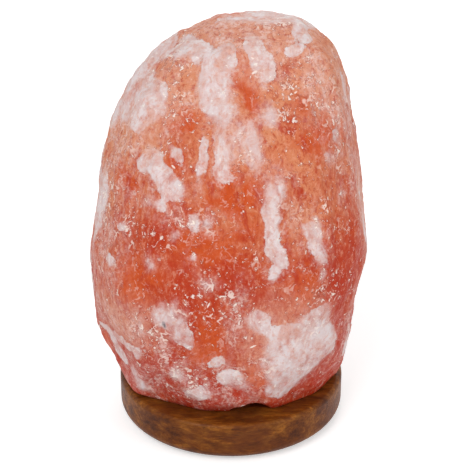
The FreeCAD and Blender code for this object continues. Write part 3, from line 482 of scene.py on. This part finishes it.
def felt_finish(look):
    """Dark pressed felt with loose fibres and worn places."""
    felt = Finish("pressed_felt")
    tufts = felt.noise(420.0, 6.0, 0.75)
    fibres = felt.noise(1.0, 4.0, 0.7, felt.stretched(900.0, 260.0, 600.0, felt.warped(200.0, 6 * MM)))
    worn = felt.between(felt.noise(60.0, 3.0), 0.45, 0.75, 0.0, 0.25)
    shade = felt.blend(felt.between(tufts, 0.35, 0.7), FELT_SHADOW, look.colour)
    shade = felt.blend(felt.between(fibres, 0.55, 0.7, 0.0, 0.5), shade, FELT_FIBRES)
    shade = felt.blend(worn, shade, FELT_WEAR)
    felt.set(
        Base_Color=shade,
        Roughness=0.95,
        Sheen_Weight=0.5,
        Sheen_Roughness=0.6,
        Normal=felt.relief(felt.math("ADD", tufts, fibres), 0.3 * MM),
    )
    return felt.material


def scaled(shade, factor, lift=0.0):
    """A darker or a lighter shade."""
    return (*(min(1.0, part * factor + lift) for part in shade[:3]), 1.0)


def metal_finish(name, shade, roughness, drawn=(400.0, 400.0, 400.0)):
    """Metal with fine marks along its working direction, and duller, darker places."""
    metal = Finish(name)
    marks = metal.noise(1.0, 4.0, 0.6, metal.stretched(*drawn))
    tarnish = metal.between(metal.noise(140.0, 4.0, 0.6), 0.35, 0.6, 0.0, 0.5)
    metal.set(
        Base_Color=metal.blend(tarnish, shade, scaled(shade, 0.55)),
        Metallic=1.0,
        Roughness=metal.between(marks, 0.3, 0.7, roughness - 0.08, roughness + 0.1),
        Normal=metal.relief(marks, 0.03 * MM),
    )
    return metal.material


def moulded_finish(name, shade, roughness, speck=0.15, depth=0.0):
    """Moulded or pressed material with a fine skin."""
    skin = Finish(name)
    grain = skin.noise(1100.0, 3.0, 0.6)
    cloud = skin.noise(60.0, 4.0, 0.6)
    mixed = skin.blend(skin.between(cloud, 0.35, 0.7, 0.0, 0.5), shade, scaled(shade, 0.7))
    lighter = scaled(shade, 1.5, 0.01)
    mixed = skin.blend(skin.between(grain, 0.55, 0.75, 0.0, speck * 2.0), mixed, lighter)
    skin.set(
        Base_Color=mixed,
        Roughness=skin.between(grain, 0.3, 0.7, roughness - 0.06, roughness + 0.08),
        Subsurface_Weight=depth,
        Subsurface_Scale=2 * MM,
        Normal=skin.relief(grain, 0.05 * MM),
    )
    return skin.material


def glass_finish(name, shade):
    """Clear glass with a faint haze."""
    glass = Finish(name)
    haze = glass.noise(90.0, 4.0, 0.6)
    glass.set(
        Base_Color=glass.blend(glass.between(haze, 0.3, 0.8, 0.0, 0.25), shade, GLASS_HAZE),
        Transmission_Weight=1.0,
        Roughness=glass.between(haze, 0.4, 0.8, 0.01, 0.06),
        IOR=1.5,
        Normal=glass.relief(haze, 0.02 * MM),
    )
    return glass.material


# ---------------------------------------------------------------- rock salt

PHOTO_SIZE = 466.0
# Ovals over the photograph, in pixels of its 466 by 466 frame: name, place of the middle across and
# down, half width, half height, and how many degrees the tall axis leans to the right.
# White inclusions:
INCLUSIONS = (
    ("upper left block", 137, 103, 19, 26, 12),
    ("upper left block, shoulder", 142, 80, 12, 14, 10),
    ("middle band, upper", 216, 82, 15, 31, -6),
    ("middle band, lower", 223, 114, 11, 22, -4),
    ("middle band, foot", 224, 152, 8, 26, 0),
    ("middle band, branch", 239, 138, 8, 27, 28),
    ("second band", 255, 54, 10, 24, -24),
    ("second band, foot", 265, 76, 6, 10, -20),
    ("shoulder, left", 188, 50, 14, 12, 10),
    ("shoulder, far left", 158, 55, 10, 8, 30),
    ("crown, front edge", 276, 17, 22, 7, -8),
    ("crown, right slope", 298, 28, 11, 6, -35),
    ("crown, below the edge", 293, 51, 9, 6, -20),
    ("left diagonal, upper", 150, 160, 11, 13, -30),
    ("left diagonal, lower", 166, 183, 10, 19, -38),
    ("left diagonal, foot", 150, 203, 9, 6, 0),
    ("left streak", 200, 167, 3, 16, 4),
    ("left side strip", 101, 205, 6, 36, 4),
    ("bright block, upper", 169, 316, 14, 13, -50),
    ("bright block, lower", 180, 332, 10, 17, -30),
    ("low right face, core", 303, 352, 33, 38, 22),
    ("low right face, left", 276, 352, 15, 24, 10),
    ("low right face, top", 318, 322, 17, 13, -20),
    ("low right face, foot", 283, 380, 19, 17, 20),
    ("low right face, left edge", 258, 322, 9, 12, 0),
    ("front foot block", 234, 382, 18, 10, 5),
    ("front foot block, left end", 215, 363, 9, 6, -30),
    ("right blotch, upper", 277, 190, 13, 19, -6),
    ("right blotch, lower", 273, 217, 10, 21, -8),
    ("right chain", 277, 250, 8, 14, -20),
    ("right chain, tail", 272, 273, 4, 9, 10),
    ("outer right blotch", 314, 232, 10, 17, -4),
    ("outer right blotch, tail", 317, 254, 5, 10, -10),
    ("middle right spot", 267, 113, 11, 13, 20),
    ("middle right cloud", 253, 148, 12, 24, -8),
    ("round spot", 206, 286, 7, 8, 0),
    ("low left face, lower edge", 116, 337, 19, 4, -12),
    ("low left face, right edge", 145, 326, 4, 11, 10),
    ("small block, left", 119, 350, 6, 11, -30),
    ("left foot", 140, 382, 9, 15, -25),
    ("foot fan, upper", 176, 372, 8, 12, -30),
    ("foot fan, lower", 196, 396, 13, 6, -10),
    ("crumb, left, first", 169, 234, 5, 6, 30),
    ("crumb, left, second", 193, 218, 6, 9, 10),
    ("crumb, left, third", 206, 221, 5, 5, 0),
    ("crumb, left, fourth", 125, 226, 5, 6, 20),
    ("crumb, left, fifth", 109, 258, 4, 5, 20),
    ("crumb, left, sixth", 154, 262, 4, 4, 0),
    ("crumb, low middle", 191, 260, 3, 4, 0),
    ("crumb, diagonal", 173, 151, 3, 8, -40),
    ("right oval", 331, 159, 3, 6, -10),
    ("right edge crumb", 336, 138, 4, 5, 0),
    ("right low crumb", 320, 273, 3, 7, 0),
    ("right edge, high", 348, 108, 5, 15, -12),
    ("right edge, middle", 364, 218, 3, 20, 0),
    ("right foot", 348, 341, 5, 12, 0),
)

# Soft milky clouds, in the same terms.
VEILS = (
    ("top", 235, 34, 104, 36, 0),
    ("left flank", 118, 130, 24, 70, 8),
    ("left side", 104, 235, 18, 72, 2),
    ("low left face", 119, 320, 26, 19, -15),
    ("right flank", 346, 140, 14, 76, -8),
    ("foot, left", 150, 380, 34, 20, -25),
    ("upper left shoulder", 185, 54, 26, 20, 10),
    ("far left shoulder", 155, 62, 18, 14, 20),
    ("crown", 300, 30, 40, 24, -10),
    ("crown right", 312, 52, 22, 34, -25),
    ("middle cloud", 251, 148, 15, 30, -8),
    ("round the middle band", 215, 88, 14, 38, -4),
    ("round the second band", 258, 58, 14, 28, -24),
    ("inner left cloud", 188, 104, 11, 14, 0),
    ("left edge", 101, 190, 10, 56, 4),
    ("left edge, low", 97, 305, 12, 22, 0),
    ("left of the left diagonal", 143, 186, 22, 22, -30),
    ("right edge, high", 344, 110, 8, 34, -12),
    ("right edge, middle", 362, 205, 8, 40, 0),
    ("right loop", 347, 188, 8, 20, 0),
    ("right low face", 348, 330, 8, 30, 0),
    ("left foot", 138, 378, 17, 22, -30),
    ("foot fan", 182, 386, 28, 24, -40),
    ("foot", 205, 392, 60, 18, 0),
    ("foot fan, upper", 160, 352, 10, 24, -20),
    ("crumbs, left", 190, 219, 42, 13, 5),
    ("round the right blotch", 280, 200, 17, 36, -5),
    ("below the right blotch", 275, 262, 14, 30, 0),
    ("round the outer blotch", 314, 238, 16, 32, 0),
    ("round the low right face", 300, 352, 40, 40, 20),
    ("round the front foot", 232, 380, 30, 18, 0),
    ("middle streaks", 238, 318, 12, 36, 5),
    ("upper right streaks", 322, 90, 12, 34, -8),
    ("upper left streaks", 172, 128, 12, 18, 0),
)

# Milky pink salt, and clear orange salt with a painted glow, as though lit from inside.
ROSES = (
    ("low left face", 119, 319, 33, 26, -15),
    ("top", 240, 36, 100, 30, 0),
    ("left shoulder", 150, 100, 26, 34, 10),
    ("right flank, high", 325, 85, 16, 45, -15),
    ("low right face", 285, 340, 42, 42, 20),
)
GLOWS = (
    ("beside the middle band", 244, 92, 13, 28, -5),
    ("below the middle band", 232, 205, 26, 34, 0),
    ("upper left", 182, 126, 20, 16, 0),
    ("beside the left diagonal", 172, 162, 10, 13, 0),
    ("left", 126, 180, 14, 18, 0),
    ("right", 318, 130, 20, 26, 0),
    ("above the bright block", 140, 280, 22, 20, 0),
    ("low middle", 205, 345, 20, 30, 0),
    ("middle", 200, 245, 30, 20, 0),
    ("low right", 300, 285, 18, 24, 0),
    ("foot, beside the white face", 258, 380, 7, 14, -10),
)
# Where curls and crumbs of white salt lie thickly.
CRUMBS = (
    ("left cluster", 192, 222, 36, 14, 0),
    ("foot fan", 184, 384, 32, 26, -30),
    ("right flank", 328, 120, 18, 50, -8),
    ("upper right", 300, 100, 22, 34, 0),
    ("beside the middle band", 178, 110, 16, 24, 0),
    ("below the left diagonal", 140, 235, 36, 16, 0),
    ("low middle", 215, 310, 40, 30, 0),
    ("beside the bright block", 150, 335, 20, 24, -20),
    ("low right", 320, 290, 24, 26, 0),
    ("left edge", 110, 190, 14, 50, 0),
)
DARK_STONE = (("dark stone in the bright block", 165, 324, 2.0, 4.5, -15),)

# What is marked on the block: the mark, its ovals over the photograph, and then the ovals at chance
# places: how many, their least and greatest half widths in millimetres, and their least and
# greatest heights as shares of the widths.
MARKS = (
    ("inclusion", INCLUSIONS, 70, (2.5, 12.0), (0.8, 2.6)),
    ("veil", VEILS, 45, (8.0, 20.0), (0.8, 2.4)),
    ("glow", GLOWS, 16, (9.0, 16.0), (0.8, 1.8)),
    ("rose", ROSES, 10, (12.0, 26.0), (0.8, 1.8)),
    ("thick", CRUMBS, 12, (10.0, 22.0), (0.8, 2.0)),
)
GREATEST_LEAN = 35.0
# the chance ovals lie behind this plane, which the photograph doesn't show, and above the bottom
CHANCE_FRONT = -12 * MM
CHANCE_FOOT = 10 * MM
# a surface that looks up by all but this share has no level direction of its own
NEARLY_UP = 0.05
# ovals go this much deeper than they are wide
OVAL_DEPTH = 4 * MM
# how much a surface that is seen aslant may lengthen an oval
LEAST_FACING = 0.45
# reach of the surface that counts for the way it looks at a place
FACING_REACH = 7 * MM
# centimetres over which ovals that nearly meet grow together, and the value far outside
GROWTH = 0.12
FAR_OUTSIDE = -2.0
# a soft oval fades out this far out, as a share of its own reach, and over this width
SOFT_END, SOFT_WIDTH = 1.5, 1.1
# noise that makes the ovals' edges ragged: the size of its waves and its push
RAGGED = ((26 * MM, 5.0 * MM), (8 * MM, 2.4 * MM))

# the hole drilled up into the block, and what stays as it is round it and above the sawn underside
CAVITY_RADIUS = 28.0 * MM
CAVITY_TOP = 127.0 * MM
CAVITY_MARGIN = 4 * MM
CAVITY_TOP_MARGIN = 6 * MM
SAWN_MARGIN = 0.4 * MM
SAWN_FADE = 3 * MM
SMOOTHING, SMOOTHING_ROUNDS = 0.6, 14
# sizes of the relief's waves and grooves, and the size and share of the depth of its large and its
# small facets; heights count less for the facets, so that they stand upright
SWELL_SIZE = 42 * MM
FACETS = ((24 * MM, 1.0), (9.5 * MM, 0.5))
FACET_RISE = 0.6
GROOVE_WIDTH, GROOVE_LENGTH = 7 * MM, 30 * MM
GRAIN_SIZE = 3.5 * MM
# how far the white inclusions stand out, and how fast, for each centimetre into them, that step
# and the stone's colour come in
INCLUSION_STEP = 0.4 * MM
STEP_GROWTH = 4.0
STONE_GROWTH = 12.0
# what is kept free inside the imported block's box
BOX_MARGIN = 0.05 * MM


def remeshed(node, step):
    """An even mesh over the CAD node's shape, as a new object at the frame's origin."""
    piece = bpy.data.objects.new(node + "_even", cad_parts[node].data.copy())
    bpy.context.scene.collection.objects.link(piece)
    even = piece.modifiers.new("even", "REMESH")
    even.mode = "VOXEL"
    even.voxel_size = step
    depsgraph = bpy.context.evaluated_depsgraph_get()
    mesh = bpy.data.meshes.new_from_object(piece.evaluated_get(depsgraph))
    bpy.data.objects.remove(piece)
    return mesh


def points_of(mesh):
    points = np.empty(len(mesh.vertices) * 3)
    mesh.vertices.foreach_get("co", points)
    return points.reshape(-1, 3)


def edges_of(mesh):
    """The two ends of each edge."""
    edges = np.empty(len(mesh.edges) * 2, int)
    mesh.edges.foreach_get("vertices", edges)
    return edges.reshape(-1, 2)


def normals_of(mesh):
    normals = np.empty(len(mesh.vertices) * 3)
    mesh.vertices.foreach_get("normal", normals)
    return normals.reshape(-1, 3)


def set_points(mesh, points):
    mesh.vertices.foreach_set("co", points.astype(np.float32).ravel())
    mesh.update()


def smoothed(points, edges, amount, rounds):
    """Points drawn towards their neighbours, by an amount of their own each."""
    count = np.bincount(edges.ravel(), minlength=len(points))[:, None]
    for _ in range(rounds):
        total = np.zeros_like(points)
        np.add.at(total, edges[:, 0], points[edges[:, 1]])
        np.add.at(total, edges[:, 1], points[edges[:, 0]])
        points = points + (total / count - points) * amount[:, None]
    return points


def hewn(point, size):
    """Height of a surface broken into small tilted facets, from about -0.5 to 0.5."""
    distances, centres = noise.voronoi(point / size)
    tilt = noise.cell_vector(centres[0] * 17.0)
    height = (point / size - centres[0]).dot(tilt)
    seam = min(1.0, (distances[1] - distances[0]) * 4.0)
    return height * seam


def relief(points, look):
    """How far each point stands in or out."""
    heights = np.empty(len(points))
    for i, place in enumerate(points):
        point = Vector(place)
        upright = Vector((point.x, point.y, point.z * FACET_RISE))
        height = look.swell * noise.fractal(point / SWELL_SIZE, 1.0, 2.0, 2)
        for size, weight in FACETS:
            height += look.facets * weight * hewn(upright, size)
        grooves = Vector((point.x / GROOVE_WIDTH, point.y / GROOVE_WIDTH, point.z / GROOVE_LENGTH))
        height += look.grain * 1.2 * noise.noise(grooves)
        height += look.grain * noise.fractal(point / GRAIN_SIZE, 0.8, 2.0, 3)
        heights[i] = height
    return heights


def oval(place, normal, half_width, half_height, lean, facing=1.0, rising=1.0):
    """An oval on the surface: its middle, and its half axes across, along and into the surface."""
    level = Vector((0.0, 0.0, 1.0)).cross(normal)
    if level.length < NEARLY_UP:
        level = Vector((1.0, 0.0, 0.0))
    level.normalize()
    slope = normal.cross(level).normalized()
    lean = math.radians(lean)
    tall = (slope * math.cos(lean) / rising + level * math.sin(lean) / facing) * half_height
    wide = (level * math.cos(lean) / facing - slope * math.sin(lean) / rising) * half_width
    deep = normal * (max(half_width, half_height) + OVAL_DEPTH)
    return place, wide, tall, deep


def seen_ovals(tree, stage, rows):
    """The ovals drawn over the photograph, laid on the block where its view meets it."""
    eye = Vector((stage.offset, -stage.stand_off, stage.eye_level))
    forward = Vector((0.0, math.cos(stage.tilt), -math.sin(stage.tilt)))
    up = Vector((0.0, math.sin(stage.tilt), math.cos(stage.tilt)))
    side = Vector((1.0, 0.0, 0.0))
    focal = stage.lens / SENSOR_WIDTH * PHOTO_SIZE
    ovals = []
    for _name, across, down, half_width, half_height, lean in rows:
        inward = 1.0 if across < PHOTO_SIZE / 2 else -1.0
        place = None
        while place is None:
            ray = forward * focal + side * (across - PHOTO_SIZE / 2) - up * (down - PHOTO_SIZE / 2)
            place, normal, _face, _gap = tree.ray_cast(eye, ray.normalized())
            across += inward
        normal = steady_normal(tree, place)
        scale = (place - eye).dot(forward) / focal
        level = Vector((0.0, 0.0, 1.0)).cross(normal).normalized()
        facing = max(LEAST_FACING, abs(level.dot(side)))
        rising = max(LEAST_FACING, abs(normal.cross(level).dot(up)))
        half_axes = (half_width * scale, half_height * scale)
        ovals.append(oval(place, normal, *half_axes, lean, facing, rising))
    return ovals


def steady_normal(tree, place):
    """The way that the surface round a place looks on the whole."""
    total = Vector()
    for _place, normal, _face, _gap in tree.find_nearest_range(place, FACING_REACH):
        total += normal
    return total.normalized()


def chance_ovals(tree, points, chance, count, sizes, stretch):
    """Ovals at chance places on the sides and the back."""
    behind = (points[:, 1] > CHANCE_FRONT) & (points[:, 2] > ROCK_LOW.z + CHANCE_FOOT)
    behind = np.nonzero(behind)[0]
    ovals = []
    for _ in range(count):
        place = Vector(points[behind[chance.randrange(len(behind))]])
        width = chance.uniform(*sizes) * MM
        height = width * chance.uniform(*stretch)
        lean = chance.uniform(-GREATEST_LEAN, GREATEST_LEAN)
        ovals.append(oval(place, steady_normal(tree, place), width, height, lean))
    return ovals


def reach_of(points, middle, wide, tall, deep):
    """0 in the middle of an oval, 1 on its edge."""
    away = points - np.array(middle)
    axes = np.linalg.inv(np.array([wide, tall, deep]).T)
    return np.linalg.norm(away @ axes.T, axis=1)


def field(points, ovals):
    """How many centimetres each point lies inside the nearest oval, below 0 outside.

    Ovals that nearly meet grow together.
    """
    inside = np.full(len(points), FAR_OUTSIDE)
    for middle, wide, tall, deep in ovals:
        depth = (1.0 - reach_of(points, middle, wide, tall, deep)) * min(wide.length, tall.length)
        inside = np.logaddexp(inside / GROWTH, depth / CM / GROWTH) * GROWTH
    return inside


def soft_field(points, ovals):
    """From 1 well inside each oval to 0 well outside it."""
    cover = np.zeros(len(points))
    for middle, wide, tall, deep in ovals:
        nearness = (SOFT_END - reach_of(points, middle, wide, tall, deep)) / SOFT_WIDTH
        cover = np.maximum(cover, np.clip(nearness, 0.0, 1.0))
    return cover


def rough_share(points):
    """1 on the broken surface, and 0 on the sawn underside and in the drilled hole."""
    radius = np.hypot(points[:, 0], points[:, 1])
    above = (points[:, 2] - ROCK_LOW.z - SAWN_MARGIN) / SAWN_FADE
    in_reach = radius < CAVITY_RADIUS + CAVITY_MARGIN
    drilled = in_reach & (points[:, 2] < CAVITY_TOP + CAVITY_TOP_MARGIN)
    return np.clip(above, 0.0, 1.0) * ~drilled


def pushed_about(points):
    """The points moved by noise, for ovals with ragged edges."""
    push = np.zeros_like(points)
    for size, reach in RAGGED:
        push += np.array([noise.noise_vector(Vector(point) / size) for point in points]) * reach
    return points + push


def marked(mesh, points, look, stage):
    """Keeps the marks at the mesh's points, and returns where the white inclusions are."""
    noise.seed_set(look.seed)
    chance = random.Random(look.seed)
    tree = BVHTree.FromPolygons(points.tolist(), [tuple(face.vertices) for face in mesh.polygons])
    ragged = pushed_about(points)
    marks = {}
    for name, seen, *by_chance in MARKS:
        ovals = seen_ovals(tree, stage, seen) + chance_ovals(tree, points, chance, *by_chance)
        marks[name] = field(ragged, ovals) if name == "inclusion" else soft_field(ragged, ovals)
    stone = field(points, seen_ovals(tree, stage, DARK_STONE))
    marks["stone"] = np.clip(stone * STONE_GROWTH, 0.0, 1.0)
    for name, values in marks.items():
        kept = mesh.attributes.new(name, "FLOAT", "POINT").data
        kept.foreach_set("value", values.astype(np.float32))
    return marks["inclusion"]


def smooth_shaded(mesh):
    mesh.polygons.foreach_set("use_smooth", [True] * len(mesh.polygons))


class LAMP_OT_crystal(Operator):
    """Makes the rough block of salt over the CAD block"""

    bl_idname = "salt_lamp.crystal"
    bl_label = "Salt crystal"

    def execute(self, context):
        look = context.scene.salt_crystal
        mesh = remeshed("salt_crystal", look.mesh_step)
        points = points_of(mesh)
        rough = rough_share(points)
        points = smoothed(points, edges_of(mesh), rough * SMOOTHING, SMOOTHING_ROUNDS)
        set_points(mesh, points)
        smooth_shaded(mesh)
        inclusion = marked(mesh, points, look, context.scene.salt_stage)

        heights = relief(points, look)
        heights += INCLUSION_STEP * np.clip(inclusion * STEP_GROWTH, 0.0, 1.0)
        points = points + normals_of(mesh) * (heights * rough)[:, None]
        low, high = np.array(ROCK_LOW) + BOX_MARGIN, np.array(ROCK_HIGH) - BOX_MARGIN
        low[2] = ROCK_LOW.z
        set_points(mesh, np.clip(points, low, high))

        block = bpy.data.objects.new("salt_block", mesh)
        context.scene.collection.objects.link(block)
        mesh.materials.clear()
        mesh.materials.append(salt_finish(look))
        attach(block, "lamp")
        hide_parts("salt_crystal")
        return {"FINISHED"}


# ---------------------------------------------------------------- base and felt


def dress(finish, *nodes):
    """Gives CAD nodes one finish."""
    for node in nodes:
        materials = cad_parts[node].data.materials
        materials.clear()
        materials.append(finish)


class LAMP_OT_base(Operator):
    """Gives the turned base its wood"""

    bl_idname = "salt_lamp.base"
    bl_label = "Wooden base"

    def execute(self, context):
        dress(wood_finish(context.scene.salt_base), "wood_base")
        return {"FINISHED"}


# points round the felt ring and across it
FELT_TURNS, FELT_STEPS = 360, 14
# its cut corners as a share of its thickness, and how deep the fluff on its underside is beside the
# fluff on its edges
FELT_CORNER = 0.35
FELT_UNDER_FLUFF = 0.6
FELT_WAVE = 1.6 * MM


def felt_section(inner, outer, thickness):
    """Radius and height of the points round a ring of felt with cut corners."""
    corner = thickness * FELT_CORNER
    flat = outer - inner - 2 * corner
    steps = [step / FELT_STEPS for step in range(FELT_STEPS + 1)]
    section = [(inner + corner + flat * step, 0.0) for step in steps]
    section += [(outer, corner), (outer, thickness)]
    section += [(outer - corner - flat * step, thickness) for step in steps]
    section += [(inner, thickness - corner), (inner, corner)]
    return section


def felt_ring(inner, outer, thickness, fibre):
    """A ring of felt with soft edges and a slightly fibrous face."""
    section = felt_section(inner, outer, thickness)
    mesh = bmesh.new()
    rows = []
    for turn in range(FELT_TURNS):
        angle = 2 * math.pi * turn / FELT_TURNS
        row = []
        for radius, height in section:
            place = Vector((radius * math.cos(angle), radius * math.sin(angle), height))
            fluff = fibre * abs(noise.fractal(place / FELT_WAVE, 0.8, 2.0, 3))
            if radius == inner:
                radius += fluff
            elif radius == outer:
                radius -= fluff
            elif height == 0.0:
                height += fluff * FELT_UNDER_FLUFF
            row.append(mesh.verts.new((radius * math.cos(angle), radius * math.sin(angle), height)))
        rows.append(row)
    for here, there in zip(rows, rows[1:] + rows[:1]):
        for step in range(len(section)):
            after = (step + 1) % len(section)
            mesh.faces.new((here[step], there[step], there[after], here[after]))
    bmesh.ops.recalc_face_normals(mesh, faces=mesh.faces)
    made = bpy.data.meshes.new("felt_ring")
    mesh.to_mesh(made)
    mesh.free()
    smooth_shaded(made)
    return made


class LAMP_OT_felt(Operator):
    """Makes the felt ring under the base"""

    bl_idname = "salt_lamp.felt"
    bl_label = "Felt ring"

    def execute(self, context):
        look = context.scene.salt_felt
        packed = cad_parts["felt_pad"].data.vertices
        inner = min(math.hypot(point.co.x, point.co.y) for point in packed)
        mesh = felt_ring(inner, PAD_HIGH.x, PAD_HIGH.z - PAD_LOW.z, look.fibre)
        ring = bpy.data.objects.new("felt_ring", mesh)
        context.scene.collection.objects.link(ring)
        mesh.materials.append(felt_finish(look))
        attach(ring, "lamp")
        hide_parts("felt_pad")
        return {"FINISHED"}


# ---------------------------------------------------------------- fittings


class LAMP_OT_fixings(Operator):
    """Finishes the screws, washers, plugs and the bush of the base"""

    bl_idname = "salt_lamp.fixings"
    bl_label = "Fixings"

    def execute(self, context):
        look = context.scene.salt_fittings
        dress(metal_finish("zinc_plated_steel", look.steel, 0.34), "base_screws", "screw_washers")
        dress(moulded_finish("nylon_plugs", look.nylon, 0.45, 0.1, 0.2), "salt_anchors")
        dress(moulded_finish("bush_plastic", look.plastic, 0.5), "cord_bush")
        return {"FINISHED"}


class LAMP_OT_holder(Operator):
    """Finishes the lampholder, its contacts and its wire wings"""

    bl_idname = "salt_lamp.holder"
    bl_label = "Lampholder"

    def execute(self, context):
        look = context.scene.salt_fittings
        dress(moulded_finish("holder_plastic", look.plastic, 0.42), "holder_body", "holder_cap")
        dress(metal_finish("joining_screw_steel", look.steel, 0.3), "cap_screws", "terminal_screws")
        dress(moulded_finish("steatite", look.ceramic, 0.5, 0.1, 0.1), "contact_carrier")
        brass = metal_finish("rolled_brass", look.brass, 0.3)
        dress(brass, "screw_shell", "shell_contact", "centre_contact")
        dress(brass, "contact_rivets", "terminal_blocks")
        drawn = metal_finish("spring_wire", look.steel, 0.26, (300.0, 1400.0, 1400.0))
        dress(drawn, "clip_wing_left", "clip_wing_right")
        return {"FINISHED"}


class LAMP_OT_bulb(Operator):
    """Finishes the bulb's glass, cap, wires and filament"""

    bl_idname = "salt_lamp.bulb"
    bl_label = "Bulb"

    def execute(self, context):
        look = context.scene.salt_fittings
        dress(glass_finish("clear_glass", CLEAR_GLASS), "bulb_glass", "bulb_stem")
        dress(metal_finish("nickel_brass", NICKEL, 0.3), "bulb_cap")
        dress(metal_finish("solder", SOLDER, 0.42), "bulb_contact_tip")
        dress(moulded_finish("black_glass", BLACK_GLASS, 0.2), "bulb_cap_insulator")
        dress(moulded_finish("bulb_cement", look.ceramic, 0.8, 0.3), "bulb_cement")
        dress(metal_finish("lead_wire", LEAD_WIRE, 0.35), "bulb_leads", "bulb_support")
        dress(metal_finish("tungsten", TUNGSTEN, 0.4), "bulb_filament")
        return {"FINISHED"}


# ---------------------------------------------------------------- stage

# the floor reaches this far each way, and lights up by this much where it is seen straight on
FLOOR_REACH = 4.0
FLOOR_LIFT = 0.45
# the lights look at the lamp's middle: name, setting with the power, place, width and height
LAMP_MIDDLE = (0.0, 0.0, 130 * MM)
LIGHTS = (
    ("key_light", "key", (-0.55, -1.0, 1.15), 0.9, 0.9),
    ("fill_light", "fill", (1.0, -0.7, 0.6), 0.8, 0.8),
    ("back_light", "fill", (0.2, 1.2, 0.9), 0.9, 0.7),
)


def soft_light(name, place, power, width, height):
    """A rectangular light that looks at the lamp."""
    data = bpy.data.lights.new(name, "AREA")
    data.shape = "RECTANGLE"
    data.size, data.size_y = width, height
    data.energy = power
    lamp = bpy.data.objects.new(name, data)
    lamp.location = place
    lamp.rotation_euler = (Vector(LAMP_MIDDLE) - Vector(place)).to_track_quat("-Z", "Y").to_euler()
    bpy.context.scene.collection.objects.link(lamp)


def floor_finish(look):
    """Pale floor that takes shadows and looks white from above."""
    floor = Finish("floor_paint")
    clouds = floor.between(floor.noise(3.0, 3.0), 0.3, 0.7, 0.0, 0.15)
    floor.set(
        Base_Color=floor.blend(clouds, look.floor, FLOOR_CLOUDS),
        Roughness=0.85,
        Specular_IOR_Level=0.1,
    )
    lift = floor.math("MULTIPLY", floor.directly_seen(), FLOOR_LIFT)
    glow = floor.node("Emission", {"Color": WHITE, "Strength": lift})
    both = floor.node("AddShader", {0: floor.shader.outputs[0], 1: glow.outputs[0]})
    floor.put(floor.output.inputs["Surface"], both.outputs[0])
    return floor.material


def floor_sheet(finish):
    """A level square under the lamp."""
    reach = FLOOR_REACH
    corners = [(-reach, -reach, 0.0), (reach, -reach, 0.0), (reach, reach, 0.0), (-reach, reach, 0.0)]
    mesh = bpy.data.meshes.new("floor")
    mesh.from_pydata(corners, [], [(0, 1, 2, 3)])
    mesh.materials.append(finish)
    floor = bpy.data.objects.new("floor", mesh)
    bpy.context.scene.collection.objects.link(floor)


def white_room(sky):
    """A world that is white where it is looked at, and gives a softer light to everything else."""
    world = bpy.data.worlds.new("room")
    world.use_nodes = True
    nodes, links = world.node_tree.nodes, world.node_tree.links
    nodes.clear()
    seen = nodes.new("ShaderNodeLightPath").outputs
    looked_at = seen["Is Camera Ray"]
    for ray in ("Is Glossy Ray", "Is Transmission Ray"):
        either = nodes.new("ShaderNodeMath")
        either.operation = "MAXIMUM"
        links.new(looked_at, either.inputs[0])
        links.new(seen[ray], either.inputs[1])
        looked_at = either.outputs[0]
    brightness = nodes.new("ShaderNodeMapRange")
    brightness.inputs["To Min"].default_value = sky
    brightness.inputs["To Max"].default_value = 1.0
    links.new(looked_at, brightness.inputs["Value"])
    background = nodes.new("ShaderNodeBackground")
    background.inputs["Color"].default_value = WHITE
    links.new(brightness.outputs["Result"], background.inputs["Strength"])
    output = nodes.new("ShaderNodeOutputWorld")
    links.new(background.outputs[0], output.inputs["Surface"])
    return world


def photo_camera(look):
    """A camera at the photograph's angle."""
    data = bpy.data.cameras.new("camera")
    data.lens = look.lens
    data.sensor_width = SENSOR_WIDTH
    data.clip_start, data.clip_end = 0.01, 100.0
    camera = bpy.data.objects.new("camera", data)
    camera.location = (look.offset, -look.stand_off, look.eye_level)
    camera.rotation_euler = (math.pi / 2 - look.tilt, 0.0, 0.0)
    bpy.context.scene.collection.objects.link(camera)
    return camera


class LAMP_OT_stage(Operator):
    """Sets up the floor, the lights, the world and the camera"""

    bl_idname = "salt_lamp.stage"
    bl_label = "Stage"

    def execute(self, context):
        scene = context.scene
        look = scene.salt_stage
        floor_sheet(floor_finish(look))
        for name, power, place, width, height in LIGHTS:
            soft_light(name, place, getattr(look, power), width, height)
        scene.world = white_room(look.sky)
        scene.camera = photo_camera(look)
        scene.view_settings.view_transform = "Standard"
        return {"FINISHED"}


# ---------------------------------------------------------------- sidebar and registration

STEPS = (
    LAMP_OT_crystal,
    LAMP_OT_base,
    LAMP_OT_felt,
    LAMP_OT_fixings,
    LAMP_OT_holder,
    LAMP_OT_bulb,
    LAMP_OT_stage,
)
SETTINGS = {
    "salt_crystal": CrystalSettings,
    "salt_base": BaseSettings,
    "salt_felt": FeltSettings,
    "salt_fittings": FittingSettings,
    "salt_stage": StageSettings,
}


class LAMP_PT_sidebar(Panel):
    """The lamp's settings and the steps that build it"""

    bl_label = "Salt Crystal Lamp"
    bl_space_type = "VIEW_3D"
    bl_region_type = "UI"
    bl_category = "Salt Lamp"

    def draw(self, context):
        for name, group in SETTINGS.items():
            box = self.layout.box()
            for setting in group.__annotations__:
                box.prop(getattr(context.scene, name), setting)
        for step in STEPS:
            self.layout.operator(step.bl_idname)


def register():
    for kind in (*SETTINGS.values(), *STEPS, LAMP_PT_sidebar):
        bpy.utils.register_class(kind)
    for name, group in SETTINGS.items():
        setattr(bpy.types.Scene, name, PointerProperty(type=group))


def unregister():
    for name in SETTINGS:
        delattr(bpy.types.Scene, name)
    for kind in reversed((*SETTINGS.values(), *STEPS, LAMP_PT_sidebar)):
        bpy.utils.unregister_class(kind)


def main():
    register()
    for step in STEPS:
        group, name = step.bl_idname.split(".")
        getattr(getattr(bpy.ops, group), name)()


if __name__ == "__main__":
    main()
